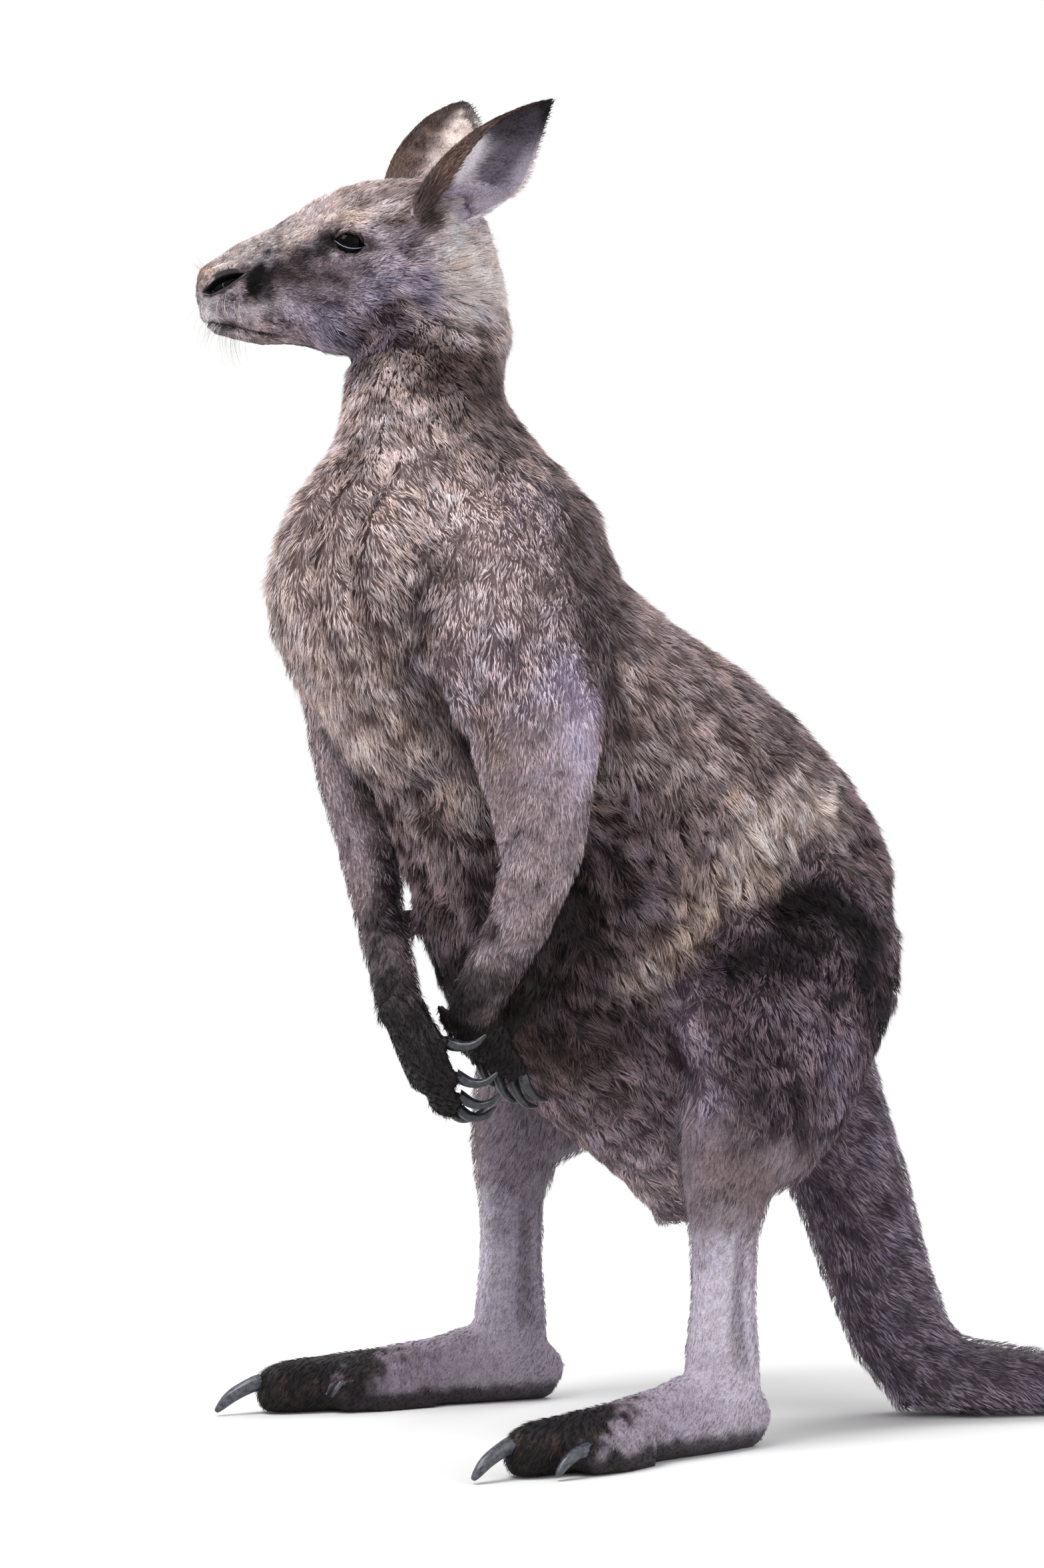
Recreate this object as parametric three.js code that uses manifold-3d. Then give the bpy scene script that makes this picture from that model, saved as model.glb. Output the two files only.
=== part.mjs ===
// A life-size male eastern grey kangaroo that stands on its hind feet and tail, as one still model.
// Millimetres. +X is the animal's left, -Y the way it faces, +Z up, and the soles lie in the plane z = 0.
// The outline is that of the coat. Flesh is swept through named stations, and each node is a length of a
// sweep. Where two sweeps meet, the smaller one is cut back from the larger with a thin gap.
import * as THREE from 'three';
import { mergeVertices } from 'three/addons/utils/BufferGeometryUtils.js';
import Module from 'manifold-3d';

const wasm = await Module();
wasm.setup();

// ---- driving dimensions ----------------------------------------------------------------------------------
const GAP = 0.4; // clearance between neighbouring solids
const HEAD_LENGTH = 286; // occiput to lips
const HEAD_PIVOT = new THREE.Vector3(2, -212, 1174); // where the skull turns on the neck
const HEAD_TURN = 29; // degrees to the animal's right
const HEAD_DROP = 13.5; // degrees, muzzle below level
const EYE_RADIUS = 15.5;
const EAR_LENGTH = 175;
const EAR_ROOT = 12; // of that, the length sunk in the head
const EAR_WALL = 4.5;
const FOOT_LENGTH = 338; // heel to the tip of the fourth toe, without its claw
const FOOT_CLAW = 65;
const HAND_CLAW = 33;

const COLOURS = {
  back: 0x6f6055, flank: 0x857668, limb: 0xa0958a, paw: 0x2b2421, face: 0x7d7067,
  ear: 0x6b5c51, tail: 0x776b64, eye: 0x1a1210, horn: 0x3a3a40,
};
const ROUGHNESS = { eye: 0.08, horn: 0.4 };

const X = new THREE.Vector3(1, 0, 0);
const vec = (p) => new THREE.Vector3(...p);
const radians = THREE.MathUtils.degToRad;

// ---- sweeps ----------------------------------------------------------------------------------------------
// A station is { c, u, v, egg, square }: its centre, its half width across (u) and half depth (v), how much
// wider its back is than its front (egg), and how boxy it is (square, 0 for an ellipse). A station may state
// its depth direction as deep. Otherwise that is square to the path and to the sweep's own side vector.
class Sweep {
  constructor(stations, { side = X, sides = 20, floor = false } = {}) {
    this.count = stations.length - 1;
    this.sides = sides;
    this.side = side;
    this.floor = floor;
    this.centre = new THREE.CatmullRomCurve3(stations.map((s) => vec(s.c)));
    this.size = this.smooth(stations.map((s) => new THREE.Vector3(s.u, s.v, s.egg ?? 0)));
    this.form = this.smooth(stations.map((s) => new THREE.Vector3(s.square ?? 0, 0, 0)));
    this.deep = stations[0].deep && this.smooth(stations.map((s) => vec(s.deep)));
  }

  smooth(points) {
    return new THREE.CatmullRomCurve3(points, false, 'catmullrom', 0.5);
  }

  // The frame of the section at station number at: its centre and unit vectors along, across and deep.
  frame(at) {
    const t = THREE.MathUtils.clamp(at / this.count, 0, 1);
    const along = this.centre.getTangent(t);
    const deep = this.deep ? this.deep.getPoint(t).normalize() : along.clone().cross(this.side).normalize();
    const across = deep.clone().cross(along).normalize();
    return { t, centre: this.centre.getPoint(t), along, across, deep };
  }

  // One ring of points, moved along the path by shift, scaled by scale and grown outwards by grow.
  ring(at, { shift = 0, scale = 1, grow = 0 } = {}) {
    const { t, centre, along, across, deep } = this.frame(at);
    const size = this.size.getPoint(t);
    const power = 1 - this.form.getPoint(t).x / 2;
    const bend = (x) => Math.sign(x) * Math.abs(x) ** power;
    return Array.from({ length: this.sides }, (_, i) => {
      const angle = (2 * Math.PI * i) / this.sides;
      const depth = bend(Math.sin(angle));
      const width = bend(Math.cos(angle)) * (1 + size.z * depth);
      const point = centre.clone().addScaledVector(along, shift)
        .addScaledVector(across, width * (size.x + grow) * scale)
        .addScaledVector(deep, depth * (size.y + grow) * scale);
      if (this.floor) point.z = Math.max(point.z, -grow);
      return point;
    });
  }

  // The closed length of the sweep between stations from and to. An end is flat, or round to a given length.
  solid(from, to, { steps = 2, roundStart = 0, roundEnd = 0, grow = 0, trim = GAP / 2 } = {}) {
    const rings = [];
    const inset = grow ? 0 : trim;
    const dome = (at, reach, sign) => [20, 55].map((degrees) => this.ring(at, {
      shift: sign * (reach + grow) * Math.cos(radians(degrees)), scale: Math.sin(radians(degrees)), grow,
    }));
    if (roundStart) rings.push(...dome(from, roundStart, -1));
    const count = Math.max(1, Math.round((to - from) * steps));
    for (let i = 0; i <= count; i++) {
      const flat = (i === 0 && !roundStart ? inset : 0) - (i === count && !roundEnd ? inset : 0);
      rings.push(this.ring(from + ((to - from) * i) / count, { shift: flat, grow }));
    }
    if (roundEnd) rings.push(...dome(to, roundEnd, 1).reverse());
    return closed(rings);
  }
}

// The solid inside a stack of rings, with a fan over each end. The rings of a folded sheet run out along one
// face and back along the other, so its ends are closed by a strip between the two.
function closed(rings, folded = false) {
  const n = rings[0].length;
  const points = rings.flat();
  const faces = [];
  for (let r = 0; r + 1 < rings.length; r++) {
    for (let i = 0; i < n; i++) {
      const [a, b] = [r * n + i, r * n + ((i + 1) % n)];
      faces.push(a, b, b + n, a, b + n, a + n);
    }
  }
  const top = (rings.length - 1) * n;
  if (folded) {
    for (let i = 0; i + 1 < n / 2; i++) {
      const [a, b, c, d] = [i, i + 1, n - 2 - i, n - 1 - i];
      faces.push(a, c, b, a, d, c, top + a, top + b, top + c, top + a, top + c, top + d);
    }
    return solidOf(points, faces);
  }
  const middle = (ring) => ring.reduce((sum, p) => sum.add(p), new THREE.Vector3()).divideScalar(n);
  const first = points.push(middle(rings[0])) - 1;
  const last = points.push(middle(rings.at(-1))) - 1;
  for (let i = 0; i < n; i++) {
    const j = (i + 1) % n;
    faces.push(first, j, i, last, top + i, top + j);
  }
  return solidOf(points, faces);
}

function solidOf(points, faces) {
  const geometry = new THREE.BufferGeometry().setFromPoints(points).setIndex(faces);
  return toSolid(geometry);
}

// A three.js geometry as a manifold solid that faces outwards.
function toSolid(geometry) {
  for (const name of ['normal', 'uv']) geometry.deleteAttribute(name);
  const merged = mergeVertices(geometry, 1e-3);
  const vertProperties = merged.attributes.position.array;
  const triVerts = new Uint32Array(merged.index.array);
  const made = new wasm.Manifold(new wasm.Mesh({ numProp: 3, vertProperties, triVerts }));
  if (made.volume() > 0) return made;
  return new wasm.Manifold(new wasm.Mesh({ numProp: 3, vertProperties, triVerts: triVerts.reverse() }));
}

// The largest body of solid once every tool is taken away.
function cut(solid, ...tools) {
  const left = tools.reduce((rest, tool) => rest.subtract(tool), solid);
  return left.decompose().reduce((best, body) => (body.volume() > best.volume() ? body : best));
}

const join = (...solids) => solids.reduce((sum, solid) => sum.add(solid));

const root = new THREE.Group();

function node(name, solid, colour) {
  const { numProp, vertProperties, triVerts } = solid.getMesh();
  const position = new Float32Array((vertProperties.length / numProp) * 3);
  for (let i = 0; i * 3 < position.length; i++) {
    position.set(vertProperties.subarray(i * numProp, i * numProp + 3), i * 3);
  }
  const geometry = new THREE.BufferGeometry();
  geometry.setAttribute('position', new THREE.BufferAttribute(position, 3));
  geometry.setIndex(new THREE.BufferAttribute(new Uint32Array(triVerts), 1));
  geometry.computeVertexNormals();
  const material = new THREE.MeshStandardMaterial({
    color: COLOURS[colour], roughness: ROUGHNESS[colour] ?? 0.85, metalness: 0,
  });
  const mesh = new THREE.Mesh(geometry, material);
  mesh.name = name;
  root.add(mesh);
}

// ---- trunk and neck --------------------------------------------------------------------------------------
// Each station of the trunk is a chord from the front outline to the back one, both as [y, z].
const chord = (front, back, half, egg = 0, x = 0) => ({
  c: [x, (front[0] + back[0]) / 2, (front[1] + back[1]) / 2],
  u: half,
  v: Math.hypot(back[0] - front[0], back[1] - front[1]) / 2,
  deep: [0, back[0] - front[0], back[1] - front[1]],
  egg,
});

const TRUNK = [
  chord([20, 198], [126, 246], 46), // groin
  chord([-16, 240], [196, 316], 84),
  chord([-122, 324], [242, 388], 138), // lower belly
  chord([-216, 428], [272, 474], 158), // belly
  chord([-260, 548], [292, 568], 166), // loin
  chord([-310, 656], [226, 674], 164), // waist
  chord([-394, 762], [106, 776], 160), // ribs
  chord([-430, 862], [-38, 866], 148, 0.06), // chest
  chord([-404, 945], [-66, 940], 124, 0.06), // withers
  chord([-352, 1004], [-132, 1004], 94, 0, -1), // root of the neck
  chord([-338, 1050], [-170, 1052], 82, 0, -4), // neck
  chord([-322, 1100], [-154, 1108], 68, 0, -10), // throat
  chord([-300, 1140], [-160, 1156], 48, 0, -12), // nape
];
const [GROIN, HIPS, WAIST, NECK_ROOT, NECK_TOP] = [0, 3, 5, 9, 12];
const trunk = new Sweep(TRUNK, { sides: 19 });
const trunkTool = trunk.solid(GROIN, NECK_TOP, { steps: 2, grow: GAP, roundStart: 14 });

// ---- head ------------------------------------------------------------------------------------------------
// The head's own frame: s runs from the pivot to the lips, q up, x to its left.
const headTurn = radians(HEAD_TURN);
const headDrop = radians(HEAD_DROP);
const S = new THREE.Vector3(
  -Math.sin(headTurn) * Math.cos(headDrop), -Math.cos(headTurn) * Math.cos(headDrop), -Math.sin(headDrop));
const HEAD_X = new THREE.Vector3(Math.cos(headTurn), -Math.sin(headTurn), 0);
const Q = HEAD_X.clone().cross(S).negate();
const inHead = (x, s, q) => HEAD_PIVOT.clone()
  .addScaledVector(HEAD_X, x).addScaledVector(S, s).addScaledVector(Q, q);

// A section of the head: how far along it is, its lower and upper edges, its half width.
const section = (s, low, high, half, egg, square) => ({
  c: inHead(0, s, (low + high) / 2).toArray(), u: half, v: (high - low) / 2, deep: Q.toArray(), egg, square,
});
const HEAD = [
  section(-28, -40, 66, 50, 0, 0), // occiput
  section(12, -58, 98, 58, 0.0, 0.05), // ears
  section(60, -64, 111, 61, -0.08, 0.1), // cheeks
  section(102, -60, 113, 57, -0.12, 0.12), // eyes
  section(138, -50, 104, 46, -0.12, 0.12), // stop
  section(176, -32, 90, 35, -0.04, 0.15), // muzzle
  section(214, -22, 82, 30, 0.05, 0.2), // bridge
  section(242, -8, 71, 28, 0.05, 0.25), // nostrils
];
const [OCCIPUT, NOSE] = [0, HEAD.length - 1];
const headSweep = new Sweep(HEAD, { sides: 17, side: HEAD_X });
const headEnds = { roundStart: 16, roundEnd: HEAD_LENGTH - 20 - 242, steps: 2 };
const headTool = headSweep.solid(OCCIPUT, NOSE, { ...headEnds, grow: GAP });

const EYE = { s: 103, q: 54, x: 41 };
const eyeAt = (side, grow) => toSolid(new THREE.SphereGeometry(EYE_RADIUS + grow, 11, 7)
  .translate(...inHead(side * EYE.x, EYE.s, EYE.q).toArray()));

// ---- ears ------------------------------------------------------------------------------------------------
// An ear is a cupped leaf: a sheet of EAR_WALL whose width rises and falls along its length, rolled round its
// axis. tip is the way it points, open the way its hollow faces, blunt how round its tip is. lap draws in the
// lower part of its rear half, which lies on the side rear.
function ear({ base, tip, open, roll, width, blunt, lap, rear }) {
  const along = vec(tip).normalize();
  const face = vec(open).addScaledVector(along, -vec(open).dot(along)).normalize();
  const across = along.clone().cross(face);
  const [rows, columns] = [7, 6];
  const half = (v) => (width / 2) * (0.42 + 2.3 * v - 2.2 * v * v)
    * Math.sqrt(Math.max(1 - v ** blunt, 0.06));
  const squeeze = (v) => 1 - lap * (1 - Math.min(v / 0.55, 1) ** 2);
  const layer = (inner) => Array.from({ length: rows + 1 }, (_, r) => {
    const v = r / rows;
    const turn = roll * (1 - 0.55 * v);
    const radius = half(v) / Math.sin(Math.min(turn, Math.PI / 2)) - (inner ? EAR_WALL : 0);
    const rim = inner ? 0.96 : 1;
    return Array.from({ length: columns + 1 }, (_, c) => {
      const angle = turn * rim * ((2 * c) / columns - 1);
      const sideways = radius * Math.sin(angle) * (angle * rear > 0 ? squeeze(v) : 1);
      return vec(base).addScaledVector(along, EAR_LENGTH * v * (inner ? 0.985 : 1) - EAR_ROOT)
        .addScaledVector(across, sideways)
        .addScaledVector(face, -radius * Math.cos(angle) + half(v) * 0.5);
    });
  });
  const rings = layer(false).map((outer, r) => [...outer, ...layer(true)[r].reverse()]);
  return closed(rings, true);
}
const EARS = {
  l: {
    base: inHead(31, 18, 70).toArray(), tip: [0.37, 0.655, 0.66], open: [0.87, -0.02, -0.48],
    roll: 2.5, width: 92, blunt: 2.6, lap: 0.45, rear: 1,
  },
  r: {
    base: inHead(-33, 34, 64).toArray(), tip: [-0.33, 0.56, 0.77], open: [-0.81, 0.24, -0.54],
    roll: 2, width: 99, blunt: 4, lap: 0.3, rear: -1,
  },
};

// ---- arms ------------------------------------------------------------------------------------------------
const ARMS = {
  l: [
    { c: [84, -196, 934], u: 42, v: 62 }, // shoulder blade
    { c: [126, -236, 866], u: 56, v: 84 }, // shoulder
    { c: [152, -246, 796], u: 57, v: 84 }, // upper arm
    { c: [184, -232, 728], u: 50, v: 76 }, // elbow
    { c: [190, -231, 662], u: 42, v: 57 },
    { c: [176, -222, 600], u: 36, v: 43 }, // forearm
    { c: [140, -227, 530], u: 29, v: 33 },
    { c: [94, -236, 474], u: 28, v: 29 },
    { c: [66, -237, 442], u: 27, v: 27 }, // wrist
  ],
  r: [
    { c: [-84, -196, 934], u: 42, v: 62 },
    { c: [-126, -236, 866], u: 56, v: 84 },
    { c: [-150, -244, 796], u: 56, v: 74 },
    { c: [-176, -236, 722], u: 46, v: 58 },
    { c: [-172, -236, 654], u: 37, v: 44 },
    { c: [-148, -236, 598], u: 33, v: 37 },
    { c: [-106, -250, 536], u: 27, v: 28 },
    { c: [-36, -270, 468], u: 26, v: 24 },
    { c: [4, -284, 436], u: 26, v: 24 },
  ],
};
const [SHOULDER_TOP, ELBOW, WRIST] = [0, 3, 8];

// A hand: its wrist and knuckles, the line of the knuckles from the last digit to the thumb, the way the
// digits point and the way they curl. thenar is how far the palm bulges towards the thumb.
const HANDS = {
  l: {
    wrist: [60, -238, 444], knuckles: [60, -212, 398],
    line: [-0.75, -0.55, 0.2], point: [0.05, 0.2, -0.97], curl: [-0.2, 0.95, 0.1], thenar: 0,
  },
  r: {
    wrist: [12, -286, 440], knuckles: [59, -275, 358],
    line: [0.72, -0.16, 0.67], point: [0.66, 0.6, -0.42], curl: [0.25, 0.43, 0.85], thenar: 7,
  },
};
const DIGITS = 5;
const DIGIT_SPACING = 16;
const DIGIT_LENGTHS = [24, 29, 31, 29, 23]; // from the last digit to the thumb
const DIGIT_SETBACK = [9, 2, 6, 18, 46]; // of each knuckle towards the wrist

function hand({ wrist, knuckles, line, point, curl, thenar }, letter) {
  const [from, to] = [vec(wrist), vec(knuckles)];
  const along = to.clone().sub(from).normalize();
  const across = vec(line).addScaledVector(along, -vec(line).dot(along)).normalize();
  const middle = from.clone().lerp(to, 0.5);
  const back = new Sweep([
    { c: from.clone().addScaledVector(along, -12).toArray(), u: 27, v: 23 },
    { c: middle.addScaledVector(across, thenar).toArray(), u: 34 + thenar, v: 20 },
    { c: to.clone().addScaledVector(across, thenar * 0.7).toArray(), u: 35 + thenar * 0.7, v: 15 },
  ], { sides: 12, side: across });
  let flesh = back.solid(0, 2, { steps: 1, roundEnd: 9 });
  const [ahead, bend] = [vec(point).normalize(), vec(curl).normalize()];
  const claws = [];
  for (let i = 0; i < DIGITS; i++) {
    const long = DIGIT_LENGTHS[i];
    const root = to.clone().addScaledVector(vec(line).normalize(), (i - (DIGITS - 1) / 2) * DIGIT_SPACING)
      .addScaledVector(along, -DIGIT_SETBACK[i]);
    const place = (a, b) => root.clone().addScaledVector(ahead, a).addScaledVector(bend, b).toArray();
    const digit = new Sweep([
      { c: place(-8, 0), u: 8.8, v: 10.5 },
      { c: place(long * 0.55, 0), u: 8.4, v: 10 },
      { c: place(long, 5), u: 7.2, v: 8.4 },
    ], { sides: 7, side: across });
    flesh = flesh.add(digit.solid(0, 2, { steps: 1 }));
    const claw = new Sweep([
      { c: place(long - 4, 6), u: 5.4, v: 6.8 },
      { c: place(long + HAND_CLAW * 0.4, 5), u: 5, v: 6.4 },
      { c: place(long + HAND_CLAW * 0.78, 14), u: 4, v: 5 },
      { c: place(long + HAND_CLAW * 0.88, 28), u: 1.6, v: 1.8 },
    ], { sides: 6, side: across });
    claws.push({ name: `claw_hand_${letter}_${DIGITS - i}`, solid: claw.solid(0, 3, { steps: 1 }) });
  }
  return { flesh, claws };
}

// ---- hind legs -------------------------------------------------------------------------------------------
// ankle is where the shank meets the foot, toeOut the foot's turn away from straight ahead.
const LEGS = {
  l: { side: 1, ankle: [175, -11], toeOut: 11 },
  r: { side: -1, ankle: [-214, -32], toeOut: 10 },
};
function legStations({ side, ankle: [x, y] }) {
  const at = (dx, dy, z, u, v, egg = 0) => ({ c: [x + side * dx, y + dy, z], u, v, egg });
  const hip = { c: [side * 86, 140, 560], u: 74, v: 104 };
  const ham = { c: [side * 118, 116, 486], u: 80, v: 124 };
  return [
    hip,
    ham,
    at(-30, 72, 418, 80, 126), // thigh
    at(-14, 52, 356, 71, 107), // knee
    at(-6, 28, 306, 57, 78), // calf
    at(-2, 2, 262, 42, 47),
    at(0, 0, 212, 33, 34), // shank
    at(0, -1, 150, 31, 34),
    at(0, -2, 96, 32, 40), // ankle
    at(0, 0, 48, 28, 42),
  ];
}
const [HIP, KNEE, ANKLE] = [0, 4, 9];

// A foot's own frame: f forward from the back of the heel, w away from the body, z up.
const HEEL_BEHIND_ANKLE = 54;
function foot({ side, ankle, toeOut }, letter) {
  const yaw = radians(toeOut);
  const forward = new THREE.Vector3(side * Math.sin(yaw), -Math.cos(yaw), 0);
  const outward = new THREE.Vector3(side * Math.cos(yaw), Math.sin(yaw), 0);
  const place = (f, w, z) => new THREE.Vector3(ankle[0], ankle[1], z)
    .addScaledVector(forward, f - HEEL_BEHIND_ANKLE).addScaledVector(outward, w).toArray();
  // A stretch of foot or toe with a flat sole: its top, half width and how far its section dips below.
  const sole = (f, w, top, half, dip = 7) => ({
    c: place(f, w, (top - dip) / 2), u: half, v: (top + dip) / 2, square: 0.2,
  });
  const options = { side: outward, floor: true };
  const body = new Sweep([
    sole(14, 0, 50, 20), sole(42, 0, 84, 27), sole(82, 0, 88, 28), sole(138, 0, 72, 28),
    sole(198, 1, 64, 30), sole(256, 0, 60, 30), sole(300, -2, 57, 26), sole(FOOT_LENGTH - 14, -3, 51, 20),
  ], { ...options, sides: 11 });
  const outerToe = new Sweep(
    [sole(178, 22, 44, 15), sole(222, 31, 42, 16), sole(264, 35, 36, 13)], { ...options, sides: 8 });
  const innerToe = new Sweep(
    [sole(150, -20, 50, 10), sole(205, -27, 48, 11), sole(250, -31, 44, 10)], { ...options, sides: 8 });
  const flesh = join(
    body.solid(0, 7, { steps: 1, roundStart: 14, roundEnd: 14 }),
    outerToe.solid(0, 2, { steps: 1, roundStart: 8, roundEnd: 9 }),
    innerToe.solid(0, 2, { steps: 1, roundStart: 8, roundEnd: 7 }),
  );
  const hook = (f, w, z, long, thick, end = 3.6) => new Sweep([
    { c: place(f - 4, w, z), u: thick * 0.9, v: thick },
    { c: place(f + long * 0.4, w, z - long * 0.06), u: thick * 0.9, v: thick },
    { c: place(f + long * 0.76, w, z - (z - end) * 0.5), u: thick * 0.8, v: thick * 0.88 },
    { c: place(f + long, w, end), u: thick * 0.5, v: thick * 0.36 },
  ], { sides: 7, side: outward });
  const claws = [
    { name: `claw_foot_${letter}_4`, sweep: hook(FOOT_LENGTH - 22, -3, 36, FOOT_CLAW, 9.4, 4.4) },
    { name: `claw_foot_${letter}_5`, sweep: hook(266, 36, 27, 42, 7.2, 4) },
    { name: `claw_foot_${letter}_3`, sweep: hook(252, -27, 35, 17, 3.8, 20) },
    { name: `claw_foot_${letter}_2`, sweep: hook(249, -36, 33, 16, 3.4, 18) },
  ].map(({ name, sweep }) => ({ name, solid: sweep.solid(0, 3, { steps: 1 }) }));
  return { flesh, claws };
}

// ---- tail ------------------------------------------------------------------------------------------------
// Its end lies along the ground, on flats that the floor makes.
const TAIL = [
  { c: [2, 170, 440], u: 70, v: 78 },
  { c: [14, 204, 330], u: 66, v: 72 }, // root
  { c: [34, 238, 224], u: 60, v: 64 },
  { c: [58, 258, 128], u: 54, v: 58 },
  { c: [90, 290, 47], u: 48, v: 55 }, // bend
  { c: [130, 378, 31], u: 42, v: 41 },
  { c: [170, 486, 26], u: 35, v: 34 },
  { c: [202, 600, 21], u: 28, v: 27 },
  { c: [220, 712, 15], u: 21, v: 20 },
  { c: [222, 812, 10], u: 13, v: 12 }, // tip
];
const [TAIL_BASE, TAIL_BEND, TAIL_MID, TAIL_TIP] = [0, 3, 6, 9];
const tail = new Sweep(TAIL, { sides: 16, floor: true });

// ---- nodes -----------------------------------------------------------------------------------------------
const eyes = { l: eyeAt(1, GAP), r: eyeAt(-1, GAP) };
const thighs = {};

node('head', cut(headSweep.solid(OCCIPUT, NOSE, headEnds), eyes.l, eyes.r), 'face');
node('neck', cut(trunk.solid(NECK_ROOT, NECK_TOP, { steps: 2 }), headTool), 'flank');
node('chest', trunk.solid(WAIST, NECK_ROOT, { steps: 2 }), 'flank');
node('belly', trunk.solid(HIPS, WAIST, { steps: 2 }), 'flank');
node('rump', trunk.solid(GROIN, HIPS, { steps: 2, roundStart: 14 }), 'back');

for (const [letter, pose] of Object.entries(LEGS)) {
  const leg = new Sweep(legStations(pose), { sides: 15 });
  const { flesh, claws } = foot(pose, letter);
  thighs[letter] = leg.solid(HIP, KNEE, { steps: 2, roundStart: 60, grow: GAP });
  node(`thigh_${letter}`, cut(leg.solid(HIP, KNEE, { steps: 2, roundStart: 60 }), trunkTool), 'flank');
  const shank = leg.solid(KNEE, ANKLE, { steps: 1, roundEnd: 12 });
  node(`shank_${letter}`, shank, 'limb');
  const shankTool = leg.solid(KNEE, ANKLE, { steps: 1, roundEnd: 12, grow: GAP });
  node(`foot_${letter}`, cut(flesh, shankTool), 'limb');
  for (const claw of claws) node(claw.name, cut(claw.solid, flesh), 'horn');
}

for (const letter of ['l', 'r']) {
  const arm = new Sweep(ARMS[letter], { sides: 16 });
  node(`upper_arm_${letter}`,
    cut(arm.solid(SHOULDER_TOP, ELBOW, { steps: 2, roundStart: 36 }), trunkTool), 'flank');
  node(`forearm_${letter}`, cut(arm.solid(ELBOW, WRIST, { steps: 1 }), trunkTool), 'limb');
  const armTool = arm.solid(ELBOW, WRIST, { steps: 1, grow: GAP });
  const { flesh, claws } = hand(HANDS[letter], letter);
  const paw = cut(flesh, armTool, trunkTool);
  node(`paw_${letter}`, paw, 'paw');
  for (const claw of claws) node(claw.name, cut(claw.solid, flesh), 'horn');
  node(`ear_${letter}`, cut(ear(EARS[letter]), headTool), 'ear');
  node(`eye_${letter}`, eyeAt(letter === 'l' ? 1 : -1, 0), 'eye');
}

const tailTools = [trunkTool, thighs.l, thighs.r];
node('tail_base', cut(tail.solid(TAIL_BASE, TAIL_BEND, { steps: 2 }), ...tailTools), 'tail');
node('tail_middle', tail.solid(TAIL_BEND, TAIL_MID, { steps: 2 }), 'tail');
node('tail_tip', tail.solid(TAIL_MID, TAIL_TIP, { steps: 1, roundEnd: 16 }), 'tail');

// The origin is on the floor under the middle of the model's box.
const box = new THREE.Box3().setFromObject(root);
root.position.set(-(box.min.x + box.max.x) / 2, -(box.min.y + box.max.y) / 2, -box.min.z);

export default root;
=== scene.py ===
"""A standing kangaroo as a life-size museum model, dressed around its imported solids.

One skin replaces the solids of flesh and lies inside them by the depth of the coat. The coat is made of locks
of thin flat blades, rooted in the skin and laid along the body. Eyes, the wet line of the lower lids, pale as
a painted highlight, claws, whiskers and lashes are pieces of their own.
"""

import sys
import logging
import math
from dataclasses import dataclass
from enum import Enum

import bmesh
import bpy
import numpy as np
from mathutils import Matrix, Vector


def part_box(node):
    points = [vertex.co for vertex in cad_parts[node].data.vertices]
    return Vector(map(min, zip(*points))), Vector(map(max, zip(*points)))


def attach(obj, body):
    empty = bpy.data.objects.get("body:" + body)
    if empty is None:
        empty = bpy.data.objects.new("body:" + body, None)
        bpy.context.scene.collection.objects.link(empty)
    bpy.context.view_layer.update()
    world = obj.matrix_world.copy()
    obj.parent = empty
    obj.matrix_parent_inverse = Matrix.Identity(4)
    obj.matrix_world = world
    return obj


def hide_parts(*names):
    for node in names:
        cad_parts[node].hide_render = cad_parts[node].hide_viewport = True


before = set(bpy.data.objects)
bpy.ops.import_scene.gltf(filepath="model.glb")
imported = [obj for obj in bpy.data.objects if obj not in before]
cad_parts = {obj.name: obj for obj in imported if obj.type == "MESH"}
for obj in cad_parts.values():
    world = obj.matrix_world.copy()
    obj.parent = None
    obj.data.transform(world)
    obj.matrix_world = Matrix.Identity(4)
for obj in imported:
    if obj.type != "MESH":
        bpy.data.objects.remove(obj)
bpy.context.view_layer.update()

BODY = "root"
MM = 0.001
SEED = 1729
log = logging.getLogger("kangaroo")


# ---- numbers ----
def linear(code: str) -> np.ndarray:
    """Turns an sRGB colour into linear light.

    Args:
        code: the colour as six hex digits, such as "8c7b83".

    Returns:
        Three linear numbers.
    """
    value = np.array([int(code[k : k + 2], 16) for k in (0, 2, 4)]) / 255
    return np.where(value <= 0.04045, value / 12.92, ((value + 0.055) / 1.055) ** 2.4)


def unit(vectors: np.ndarray) -> np.ndarray:
    """Scales vectors to length one.

    Args:
        vectors: an array whose last axis is x, y, z.

    Returns:
        The array with each vector divided by its length.
    """
    return vectors / np.maximum(np.linalg.norm(vectors, axis=-1, keepdims=True), 1e-9)


def ease(low: float, high: float, value: np.ndarray) -> np.ndarray:
    """Rises smoothly from 0 at low to 1 at high, by the cubic 3t^2 - 2t^3.

    Args:
        low: where the rise starts.
        high: where it ends; it may be under low, and then the curve falls.
        value: the numbers to look up.

    Returns:
        An array of numbers from 0 to 1.
    """
    part = np.clip((value - low) / (high - low), 0, 1)
    return part * part * (3 - 2 * part)


def mix(first: np.ndarray, second: np.ndarray, share: np.ndarray) -> np.ndarray:
    """Blends two sets of colours.

    Args:
        first: colours where share is 0.
        second: colours where share is 1.
        share: one number for each colour.

    Returns:
        The blended colours.
    """
    return first + (second - first) * np.asarray(share)[..., None]


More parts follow.
